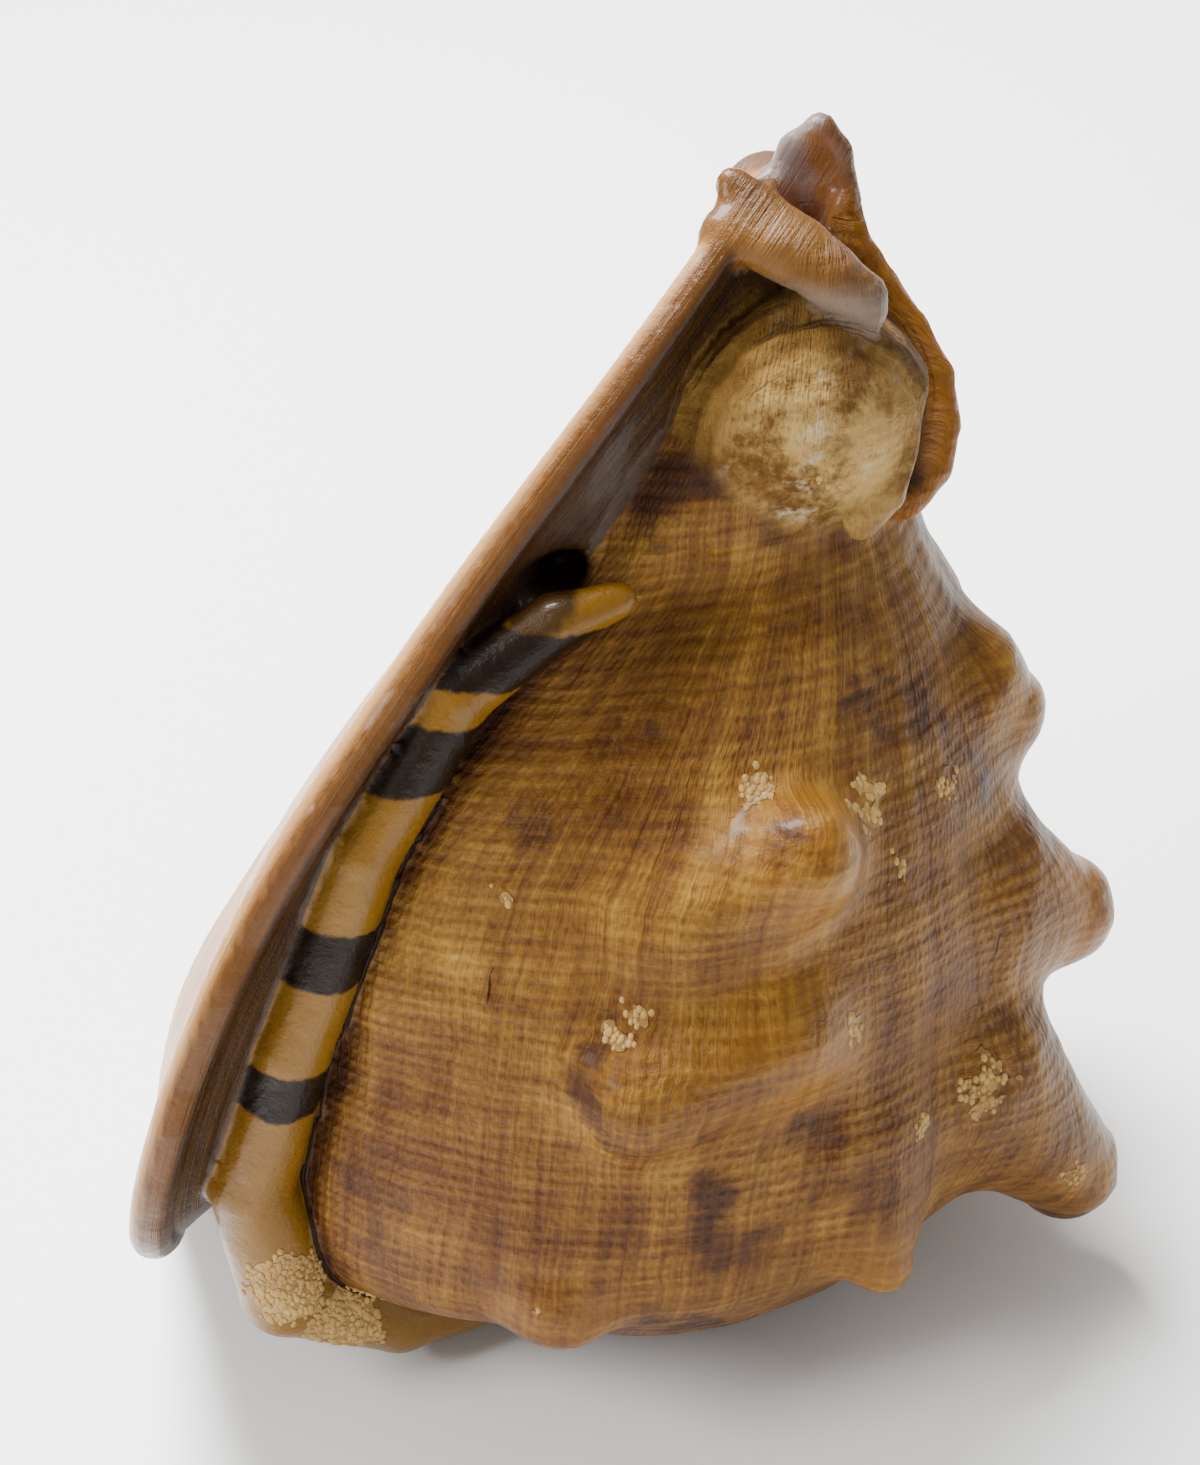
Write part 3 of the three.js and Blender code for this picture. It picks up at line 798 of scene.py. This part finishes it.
def close_tree(net, geometry, material):
    """Realizes the instances, sets the material and feeds the tree's output."""
    real = net.add("GeometryNodeRealizeInstances", None, {"Geometry": geometry})
    dressed = net.add("GeometryNodeSetMaterial", None, {"Geometry": real, "Material": material})
    net.add("NodeGroupOutput", None, {"Geometry": dressed})


def tree_attribute(net, name):
    return net.add("GeometryNodeInputNamedAttribute", {"data_type": "FLOAT"}, {"Name": name}).value(0)


def apply_tree(obj, tree, values):
    """Runs a geometry node tree on an object and keeps the result as a plain mesh."""
    modifier = obj.modifiers.new(tree.name, "NODES")
    modifier.node_group = tree
    for item in tree.interface.items_tree:
        if item.item_type == "SOCKET" and item.in_out == "INPUT" and item.name in values:
            modifier[item.identifier] = values[item.name]
    evaluated = obj.evaluated_get(bpy.context.evaluated_depsgraph_get())
    mesh = bpy.data.meshes.new_from_object(evaluated)
    obj.modifiers.remove(modifier)
    obj.data = mesh
    return mesh


def blank_material(name):
    """A material without nodes, and the net that fills it."""
    material = bpy.data.materials.new(name)
    material.use_nodes = True
    material.node_tree.nodes.clear()
    return material, Net(material.node_tree)


def keep_in_box(mesh):
    """Holds the finished surface inside the CAD model's box."""
    places = np.empty(len(mesh.vertices) * 3, dtype=np.float32)
    mesh.vertices.foreach_get("co", places)
    low, high = np.array(CAD_BOX[0]), np.array(CAD_BOX[1])
    places = np.clip(places.reshape(-1, 3), low, high)
    mesh.vertices.foreach_set("co", places.astype(np.float32).ravel())
    mesh.update()


def link(obj):
    bpy.context.scene.collection.objects.link(obj)
    return obj


# ---- The shell's relief ----------------------------------------------------------------------

def relief_tree(material):
    """Raises spiral cords, growth waves, rings round the dome and broad lumps along the normals."""
    tree, net = blank_tree("Shell relief", ("Rib Height", "Rib Spacing", "Growth Height", "Lump Height"))
    given = net.add("NodeGroupInput")
    spiral, growth = tree_attribute(net, "spiral"), tree_attribute(net, "growth")
    on_body, dome_turn = tree_attribute(net, "on_body"), tree_attribute(net, "dome_turn")
    place = net.add("GeometryNodeInputPosition").out()

    wander = net.noise(net.vector(growth * 0.02, spiral * 0.02), 1.0) * 3.0
    cords = ((spiral + wander) * (2 * math.pi) / given.value("Rib Spacing")).sine()
    patchy = net.noise(place, 35.0, detail=1.0).between(0.3, 0.7)
    by_dome = tree_attribute(net, "on_neck").largest(tree_attribute(net, "on_dome"))
    rings = ((dome_turn + wander) * (2 * math.pi / RING_SPACING)).sine()
    rings = rings * dome_turn.between(13.0, 19.0) * by_dome
    waves = net.noise(net.vector(growth * 0.16, spiral * 0.012), 1.0, detail=2.0) - 0.5
    lumps = net.noise(place, 60.0, detail=2.0) - 0.5
    calm = 1 - tree_attribute(net, "in_aperture").largest(tree_attribute(net, "on_face")) * 0.8

    height = (cords * on_body * patchy + rings * RING_HEIGHT) * given.value("Rib Height")
    height = height + waves * given.value("Growth Height") * 2 * on_body
    height = (height + lumps * given.value("Lump Height")) * calm
    normal = net.add("GeometryNodeInputNormal").out()
    offset = net.add("ShaderNodeVectorMath", {"operation": "SCALE"}, {0: normal, "Scale": height}).out()
    moved = net.add("GeometryNodeSetPosition", None, {"Geometry": given.out("Geometry"), "Offset": offset})
    close_tree(net, moved, material)
    return tree


# ---- The shell's finish ----------------------------------------------------------------------

class Patterns:
    """The measures stored on the surface, and the noises and masks that the finishes share."""

    def __init__(self, net):
        self.net = net
        self.where = net.add("ShaderNodeTexCoord").out("Object")
        for name in ("growth", "height", "depth", "hollow", "ridge", "dome_turn", "lip_side",
                     "shield_edge", "on_body", "on_knob", "on_dome", "on_neck"):
            setattr(self, name, self.stored(name))
        self.clouds = net.swing(self.where, CLOUD_SCALE, 4.0)
        self.mottles = net.swing(self.where, MOTTLE_SCALE, 5.0, 0.65)
        self.grain = net.swing(self.where, GRAIN_SCALE, 4.0, 0.7)
        self.stains = net.swing(self.where, 40.0, 4.0, 0.7).between(0.25, 0.75)
        self.follow_growth()
        self.follow_dome()
        self.wear()

    def stored(self, name):
        return self.net.add("ShaderNodeAttribute", {"attribute_name": name}).value("Fac")

    def streaks(self, across, along, detail, roughness):
        """Noise drawn out along the growth lines or along the spiral."""
        return self.net.swing(self.net.vector(across, along), 1.0, detail, roughness)

    def follow_growth(self):
        """Lines, folds and dashes that follow the shell's growth, and its beaded spiral cords."""
        around = self.growth + self.clouds * 2.0 + self.mottles * 0.9
        along = self.stored("spiral") + self.clouds * 1.2 + self.mottles * 0.7
        self.folds = self.streaks(around * 0.20, along * 0.010, 3.0, 0.6)
        self.lines = self.streaks(around * 1.10, along * 0.045, 4.0, 0.65) * (0.65 + self.clouds * 0.5)
        self.bands = self.streaks(around * 0.035, along * 0.17, 3.0, 0.6)
        self.dashes = self.streaks(around * 0.16, along * 0.80, 4.0, 0.65)
        self.cords = (along * (2 * math.pi / CORD_SPACING)).sine()
        self.beads = (around * (2 * math.pi / BEAD_SPACING) + self.lines * 2.0).sine() * self.cords
        blotches = self.net.swing(self.where, 34.0, 3.0, 0.6) + self.dashes * 0.3 + self.clouds * 0.25
        self.blotches = blotches.between(0.25, 0.70)
        self.bars = (self.stored("bar") + self.mottles * 1.6 + self.grain * 0.3).between(-0.5, 0.5)
        streak = self.net.vector(self.depth * 0.75, self.height * 0.012, self.lip_side * 3.0)
        self.scratches = self.net.swing(streak, 1.0, 5.0, 0.65)

    def follow_dome(self):
        """The dome's dirty outskirts and the dark lamellae round it."""
        self.outskirts = (self.dome_turn + self.mottles * 2.5 + self.clouds * 3.0).between(11.0, 19.0)
        turn = (self.dome_turn + self.mottles * 0.8) * 0.42
        rings = self.net.swing(self.net.vector(turn, self.growth * 0.012, self.height * 0.01), 1.0, 3.0, 0.6)
        self.lamellae = rings.between(0.10, 0.60) * self.outskirts

    def wear(self):
        """Lime plates, cracks and dust."""
        crust = self.stored("crust")
        plates = (self.net.swing(self.where, CRUST_SCALE, 2.0, 0.5) + crust).between(0.70, 0.82)
        self.plates = plates * crust.between(0.02, 0.2)
        seam = 1 - (self.stored("seam").size() + self.mottles * 0.2).between(0.20, 0.85)
        seam = seam * (1 - self.shield_edge.between(-3.0, -1.0)) * self.stored("by_varix")
        self.cracks = seam.largest(1 - (self.stored("crack") + self.mottles * 0.25).between(0.15, 0.60))
        self.dust = (self.grain * 0.5 + self.mottles).between(0.7, 1.3) * self.on_body


def body_colour(net, seen):
    """The body whorl: golden brown with growth lines, beaded cords, blotches and amber knobs; painted shade
    low down and in the hollows, and a painted highlight on the knobs.
    """
    tone = 0.54 + seen.clouds * 0.13 + seen.mottles * 0.11 + seen.folds * 0.14 + seen.lines * 0.21
    tone = tone + seen.bands * 0.12 + seen.dashes * 0.12
    tone = tone + (seen.cords * 0.060 + seen.beads * 0.03) * (0.5 + seen.mottles * 0.5) + seen.grain * 0.07
    # Painted shade: darker towards the bottom, near the table.
    tone = tone - seen.height.between(95.0, 20.0) * 0.09
    # The knobs are lighter as a painted highlight; the blotches are their own darker colour.
    tone = tone - seen.blotches * 0.24 + seen.on_knob * 0.10
    # Painted shade darkens the hollows; the ridges are paler.
    tone = tone - seen.hollow.between(0.35, 1.1) * 0.16 + seen.ridge * 0.14
    body = net.add("ShaderNodeValToRGB", {"stops": BODY_TONES}, {0: tone}).out()
    body = net.mix(seen.blotches * 0.55, body, BLOTCH_BROWN)
    # Amber on the knobs, their own colour and a painted highlight.
    amber = seen.on_knob * (seen.mottles + seen.lines * 0.4).between(-0.5, 0.8)
    body = net.mix(amber * 0.5, body, KNOB_AMBER_HIGHLIGHT)
    neck = net.mix(seen.lines.between(-0.5, 0.5), NECK_DARK, NECK_TAN)
    return net.mix(seen.on_neck * 0.85, body, neck)


def varix_colour(net, seen, colours):
    """The varix: glazed ochre with stains and dark bars."""
    tone = 0.45 + seen.clouds * 0.25 + seen.mottles * 0.25 + seen.lines * 0.06
    varix = net.mix(tone, colours.ochre, VARIX_HONEY)
    varix = net.mix(seen.stains * 0.6, varix, VARIX_STAIN)
    bar = net.mix(seen.mottles.between(-0.8, 0.9), colours.bar, BAR_WORN)
    return net.mix(seen.bars, varix, bar)


def shield_colour(net, seen, colours):
    """The shield's glazed rolled rim, with painted shade towards its low end, and its dark striated back."""
    rim = net.mix((seen.clouds * 0.4 + seen.scratches * 0.5).between(-0.5, 0.6), colours.rim, RIM_BROWN)
    rim = net.mix(seen.stains, rim, RIM_STAIN)
    # Painted shade: the rim darker towards its low end.
    rim = net.mix(seen.height.between(60.0, 15.0) * 0.6, rim, RIM_FOOT_SHADE)
    rim = net.mix(seen.lip_side * seen.mottles.between(-0.9, 0.5) * 0.8, rim, LIP_ROSE)
    back = net.mix(seen.scratches.between(-0.7, 0.7), colours.shield, BACK_STREAK)
    on_rim = (seen.depth + seen.scratches * 0.6 + seen.mottles * 0.4).between(3.0, 1.6)
    return net.mix(on_rim, back, rim)


def face_colour(net, seen):
    """The flat face: cream and peach, browner in its hollows and paler on its ridges."""
    face = net.mix(seen.clouds.between(-0.7, 0.7), FACE_CREAM, FACE_PEACH)
    face = net.mix(seen.stains * 0.65, face, FACE_STAIN)
    face = net.mix(seen.hollow.between(0.1, 0.8) * 0.6, face, FACE_BROWN)
    return net.mix(seen.ridge.between(0.3, 0.9) * 0.4, face, TOOTH_PALE)


def lime_colour(net, seen, colours):
    """The dome: worn chalky lime with rust spots, dirty round its edge."""
    lime = net.mix((seen.mottles + seen.grain * 0.4).between(-0.45, 0.35), LIME_STAIN, colours.lime)
    chalk = net.swing(seen.where, 95.0, 4.0, 0.7) + seen.clouds * 0.5
    lime = net.mix(chalk.between(0.15, 0.55) * 0.8, lime, LIME_CHALK)
    rust = net.swing(seen.where, 55.0, 4.0, 0.7) + seen.grain * 0.2
    lime = net.mix(rust.between(0.25, 0.6) * 0.7, lime, LIME_RUST)
    dirt = net.mix(seen.mottles.between(-0.6, 0.6), LIME_DIRT, LIME_TAN)
    lime = net.mix(seen.outskirts * 0.85, lime, dirt)
    return net.mix(seen.lamellae * 0.85, lime, LAMELLA_DARK)


def fold_colour(net, seen):
    """The parietal fold over the canal: orange to brown, greyer at its low end."""
    fold = net.mix((seen.mottles * 0.5 + seen.clouds).between(-0.4, 0.5), FOLD_ORANGE, FOLD_BROWN)
    return net.mix(seen.height.between(201.0, 196.0) * 0.7, fold, FOLD_END)


def leaf_colour(net, seen, colours):
    """The lip's leaf beside the canal: dark to grey-lilac inside, orange and brown outside."""
    pale = seen.mottles + seen.clouds * 0.5 + seen.height.between(200.0, 208.0) * 0.8
    inner = net.mix(pale.between(-0.1, 0.6), LEAF_DARK, colours.lilac)
    outer = net.mix(seen.mottles.between(-0.6, 0.6), LEAF_ORANGE, LEAF_BROWN)
    leaf = net.mix(seen.stored("outward") * 0.9, inner, outer)
    return net.mix(seen.stored("on_wall") * 0.85, leaf, WALL_ORANGE)


def join_colours(net, seen, colours):
    """Lays each part's colour over the body whorl's."""
    lime = lime_colour(net, seen, colours)
    near_dome = seen.on_neck * (seen.dome_turn + seen.mottles * 2.0).between(42.0, 28.0)
    colour = net.mix(near_dome * 0.85, body_colour(net, seen), lime)
    on_shield = (seen.shield_edge + seen.mottles * 0.5).between(-0.6, 0.6)
    colour = net.mix(on_shield, colour, shield_colour(net, seen, colours))
    on_varix = (seen.stored("varix_edge") + seen.mottles * 0.3).between(-0.4, 0.4)
    colour = net.mix(on_varix, colour, varix_colour(net, seen, colours))
    colour = net.mix(seen.stored("on_face"), colour, face_colour(net, seen))
    colour = net.mix(seen.on_dome, colour, lime)
    colour = net.mix(seen.stored("on_ledge"), colour, lime)
    colour = net.mix(seen.stored("on_fold"), colour, fold_colour(net, seen))
    return net.mix(seen.stored("on_leaf"), colour, leaf_colour(net, seen, colours))


def weather_and_shade(net, seen, colours, colour):
    """Lays crusts, cracks, specks and dust over the joined colours, and paints shade into the canal's groove,
    the umbilicus, the hollows and the aperture's slit.
    """
    crust = net.mix(seen.mottles.between(-0.5, 0.5), CRUST_TAN, colours.lime)
    colour = net.mix(seen.plates * 0.85, colour, crust)
    # Painted shade in the canal's groove.
    colour = net.mix(seen.stored("in_canal") * 0.9, colour, CANAL_SHADE)
    # Painted shade in the umbilicus.
    colour = net.mix(seen.stored("in_umbilicus") * 0.8, colour, UMBILICUS_SHADE)
    colour = net.mix(seen.cracks, colour, CRACK_DARK)
    # Painted shade in the hollows, where the shell encloses the surface.
    colour = net.mix(seen.hollow.between(0.75, 1.3) * 0.6, colour, HOLLOW_SHADE)
    # Painted shade inside the aperture's slit.
    colour = net.mix(seen.stored("in_aperture") * 0.6, colour, APERTURE_SHADE)
    colour = net.mix(seen.grain.between(0.75, 1.1) * 0.6, colour, SPECK_DARK)
    return net.mix(seen.dust * 0.4, colour, colours.lime)


def shell_roughness(seen):
    roughness = 0.42 + seen.mottles * 0.07 + seen.on_dome * 0.25 + seen.hollow * 0.15 - seen.on_knob * 0.05
    return roughness - (1 - seen.on_body) * 0.10 + seen.blotches * 0.05 + seen.dust * 0.2


def shell_glaze(seen):
    """The weight of the glaze: most off the body whorl, none on the dome, the bars and the cracks."""
    off_body = 1 - seen.on_body
    glaze = off_body * 0.18 + seen.on_knob * 0.09 + 0.05
    glaze = glaze * (1 - seen.on_dome) * (1 - seen.cracks) * (1 - seen.bars * off_body)
    return (glaze * (0.8 + seen.mottles * 0.3)).clamped()


def shell_bump(net, seen):
    """Fine relief: beaded cords and lines on the body, scratches on the shield, grain, lamellae."""
    patchy = 0.55 + seen.clouds * 0.25 + seen.mottles * 0.25
    relief = (seen.cords * 0.12 + seen.beads * 0.11) * patchy
    relief = relief + seen.folds * 0.40 + seen.lines * 0.30 + seen.dashes * 0.10
    relief = relief * seen.on_body * (1 - seen.on_knob * 0.6) + seen.plates * 0.5
    relief = relief + seen.scratches * seen.shield_edge.between(0.0, 2.0) * 0.22
    relief = relief + seen.mottles * 0.20 + seen.grain * 0.10 + seen.grain * seen.on_dome * 0.25
    relief = relief - seen.lamellae * seen.on_dome.largest(seen.on_neck) * 1.2 - seen.cracks * 0.8
    return net.add("ShaderNodeBump", None, {"Strength": 0.8, "Distance": 0.0014, "Height": relief}).out()


def shell_material(colours):
    """The weathered shell's colours, with their painted shade and highlights, its roughness, glaze and fine
    relief.
    """
    material, net = blank_material("weathered_shell")
    seen = Patterns(net)
    colour = weather_and_shade(net, seen, colours, join_colours(net, seen, colours))
    shader = net.add("ShaderNodeBsdfPrincipled", None, {
        "Base Color": colour, "Roughness": shell_roughness(seen), "Normal": shell_bump(net, seen),
        "IOR": 1.5, "Specular IOR Level": 0.16, "Coat Weight": shell_glaze(seen), "Coat Roughness": 0.14})
    net.add("ShaderNodeOutputMaterial", None, {"Surface": shader})
    return material


# ---- The lime crusts -------------------------------------------------------------------------

def crust_material(colours):
    """Rough, pale, speckled lime."""
    material, net = blank_material("lime_crust")
    where = net.add("ShaderNodeTexCoord").out("Object")
    specks = net.swing(where, 420.0, 3.0, 0.6)
    patches = net.swing(where, 90.0, 3.0, 0.6)
    colour = net.mix((specks * 0.6 + patches).between(-0.8, 0.7), CRUST_SHADE, colours.lime)
    shader = net.add("ShaderNodeBsdfPrincipled", None, {
        "Base Color": colour, "Roughness": 0.75, "IOR": 1.45, "Specular IOR Level": 0.3})
    net.add("ShaderNodeOutputMaterial", None, {"Surface": shader})
    return material


def crust_tree(material):
    """Scatters small flattened lumps where the crust attribute is high."""
    tree, net = blank_tree("Lime crust", ("Density", "Smallest", "Largest"))
    given = net.add("NodeGroupInput")
    place = net.add("GeometryNodeInputPosition").out()
    crust = tree_attribute(net, "crust")
    flakes = (net.swing(place, CRUST_SCALE, 2.0, 0.5) + crust).between(0.70, 0.85)
    density = flakes * crust.between(0.02, 0.2) * given.value("Density")
    points = net.add("GeometryNodeDistributePointsOnFaces", None, {
        "Mesh": given.out("Geometry"), "Density": density, "Seed": CRUST_SEED})
    lump = net.add("GeometryNodeMeshUVSphere", None, {"Segments": 7, "Rings": 4, "Radius": 1.0})
    size = net.add("FunctionNodeRandomValue", {"data_type": "FLOAT"}, {
        "Min": given.value("Smallest"), "Max": given.value("Largest"), "Seed": LUMP_SEED}).value(1)
    scale = net.vector(size, size * 1.3, size * 0.4)
    lumps = net.add("GeometryNodeInstanceOnPoints", None, {
        "Points": points.out("Points"), "Instance": lump, "Rotation": points.out("Rotation"), "Scale": scale})
    close_tree(net, lumps, material)
    return tree


# ---- Building steps --------------------------------------------------------------------------

class SHELL_OT_grow(bpy.types.Operator):
    """Grow the shell: mesh its form, raise its relief and colour it"""

    bl_idname = "helmet_shell.grow"
    bl_label = "Grow the shell"

    def execute(self, context):
        sizes = context.scene.helmet_sizes
        axes, values = sample_field(sizes.cell)
        points, quads = surface_nets(axes, values)
        points = settle_on_surface(points)
        mesh = make_mesh("shell_surface", to_frame(points), quads)
        describe_surface(mesh, points, slope_of(points))
        shell = link(bpy.data.objects.new("shell_surface", mesh))
        material = shell_material(context.scene.helmet_colours)
        apply_tree(shell, relief_tree(material), {
            "Rib Height": sizes.rib_height, "Rib Spacing": sizes.rib_spacing,
            "Growth Height": sizes.growth_height, "Lump Height": sizes.lump_height})
        keep_in_box(shell.data)
        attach(shell, "root")
        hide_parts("shell")
        return {"FINISHED"}


class SHELL_OT_crust(bpy.types.Operator):
    """Scatter the lime crusts over the grown shell"""

    bl_idname = "helmet_shell.crust"
    bl_label = "Crust the shell with lime"

    def execute(self, context):
        sizes = context.scene.helmet_sizes
        grown = bpy.data.objects.get("shell_surface")
        if grown is None:
            raise RuntimeError("Grow the shell before it is crusted")
        crust = link(bpy.data.objects.new("lime_crust", grown.data.copy()))
        apply_tree(crust, crust_tree(crust_material(context.scene.helmet_colours)), {
            "Density": sizes.crust_density, "Smallest": sizes.crust_smallest, "Largest": sizes.crust_largest})
        crust.data.shade_smooth()
        keep_in_box(crust.data)
        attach(crust, "root")
        return {"FINISHED"}


# ---- The stage ------------------------------------------------------------------------------

# Each light's name, place, width and power, and the point that they all face.
LIGHTS = (("ceiling_light", (-0.35, 0.55, 1.3), 0.7, 92), ("window_light", (-0.9, -0.5, 0.9), 0.5, 17))
LIT_POINT = (0.0, 0.0, 0.1)
ROOM_STRENGTH = 0.62
TABLE_REACH = 4.0

# The camera's turns in degrees, and its place and the height in view in millimetres, all from
# the shell's own frame.
CAMERA_ROLL = 6.4
CAMERA_TILT = 27.0
CAMERA_PLACE = (-22.4, 93.5, 600.0)
VIEW_HEIGHT = 293.0
SENSOR_HEIGHT = 24.0


def area_light(name, place, width, power):
    data = bpy.data.lights.new(name, "AREA")
    data.size = width
    data.energy = power
    light = link(bpy.data.objects.new(name, data))
    light.location = place
    light.rotation_euler = (Vector(LIT_POINT) - Vector(place)).to_track_quat("-Z", "Y").to_euler()


def make_room(strength):
    """Lights the whole scene softly from all round."""
    room = bpy.data.worlds.new("soft_room")
    room.use_nodes = True
    background = room.node_tree.nodes["Background"]
    background.inputs["Color"].default_value = (*ROOM_WHITE, 1.0)
    background.inputs["Strength"].default_value = ROOM_STRENGTH * strength
    bpy.context.scene.world = room


def make_table():
    """A wide pale table top, which is no part of the shell."""
    mesh = bpy.data.meshes.new("table")
    reach = TABLE_REACH
    corners = [(-reach, -reach, 0), (reach, -reach, 0), (reach, reach, 0), (-reach, reach, 0)]
    mesh.from_pydata(corners, [], [(0, 1, 2, 3)])
    material, net = blank_material("table_white")
    shader = net.add("ShaderNodeBsdfPrincipled", None, {"Base Color": (*TABLE_WHITE, 1.0), "Roughness": 0.5})
    net.add("ShaderNodeOutputMaterial", None, {"Surface": shader})
    mesh.materials.append(material)
    floor = link(bpy.data.objects.new("table", mesh))


def make_camera():
    """Places the camera by its turns and its place in the shell's own frame."""
    roll, tilt = math.radians(CAMERA_ROLL), math.radians(CAMERA_TILT)
    across = Vector((math.cos(roll), -math.sin(roll), 0))
    along = Vector((math.sin(roll) * math.cos(tilt), math.cos(roll) * math.cos(tilt), math.sin(tilt)))
    shell_axes = Matrix((across, along.cross(across), along)).transposed()
    turn = resting_lean() @ shell_axes.transposed()
    place = (turn @ Vector(CAMERA_PLACE) + Vector(ORIGIN_ON_GROUND)) * MM
    data = bpy.data.cameras.new("camera")
    data.sensor_fit = "VERTICAL"
    data.sensor_height = SENSOR_HEIGHT
    data.lens = SENSOR_HEIGHT * CAMERA_PLACE[2] / VIEW_HEIGHT
    camera = link(bpy.data.objects.new("camera", data))
    camera.matrix_world = Matrix.Translation(place) @ turn.to_4x4()
    bpy.context.scene.camera = camera


class SHELL_OT_stage(bpy.types.Operator):
    """Set the pale table, the soft lights and the camera"""

    bl_idname = "helmet_shell.stage"
    bl_label = "Set the stage"

    def execute(self, context):
        strength = context.scene.helmet_stage.light
        make_table()
        make_camera()
        make_room(strength)
        for name, place, width, power in LIGHTS:
            area_light(name, place, width, power * strength)
        return {"FINISHED"}


class SHELL_PT_panel(bpy.types.Panel):
    """Lists the shell's sizes, colours and building steps"""

    bl_idname = "SHELL_PT_panel"
    bl_label = "Helmet Shell"
    bl_space_type = "VIEW_3D"
    bl_region_type = "UI"
    bl_category = "Helmet Shell"

    def draw(self, context):
        for group in (context.scene.helmet_sizes, context.scene.helmet_colours, context.scene.helmet_stage):
            for name in group.__annotations__:
                self.layout.prop(group, name)
        for operator in STEPS:
            self.layout.operator(operator.bl_idname)


STEPS = (SHELL_OT_grow, SHELL_OT_crust, SHELL_OT_stage)
CLASSES = (ShellSizes, ShellColours, StageSettings, *STEPS, SHELL_PT_panel)


def register():
    for cls in CLASSES:
        bpy.utils.register_class(cls)
    bpy.types.Scene.helmet_sizes = PointerProperty(type=ShellSizes)
    bpy.types.Scene.helmet_colours = PointerProperty(type=ShellColours)
    bpy.types.Scene.helmet_stage = PointerProperty(type=StageSettings)


def unregister():
    del bpy.types.Scene.helmet_stage
    del bpy.types.Scene.helmet_colours
    del bpy.types.Scene.helmet_sizes
    for cls in reversed(CLASSES):
        bpy.utils.unregister_class(cls)


def main():
    register()
    bpy.ops.helmet_shell.grow()
    bpy.ops.helmet_shell.crust()
    bpy.ops.helmet_shell.stage()


if __name__ == "__main__":
    main()
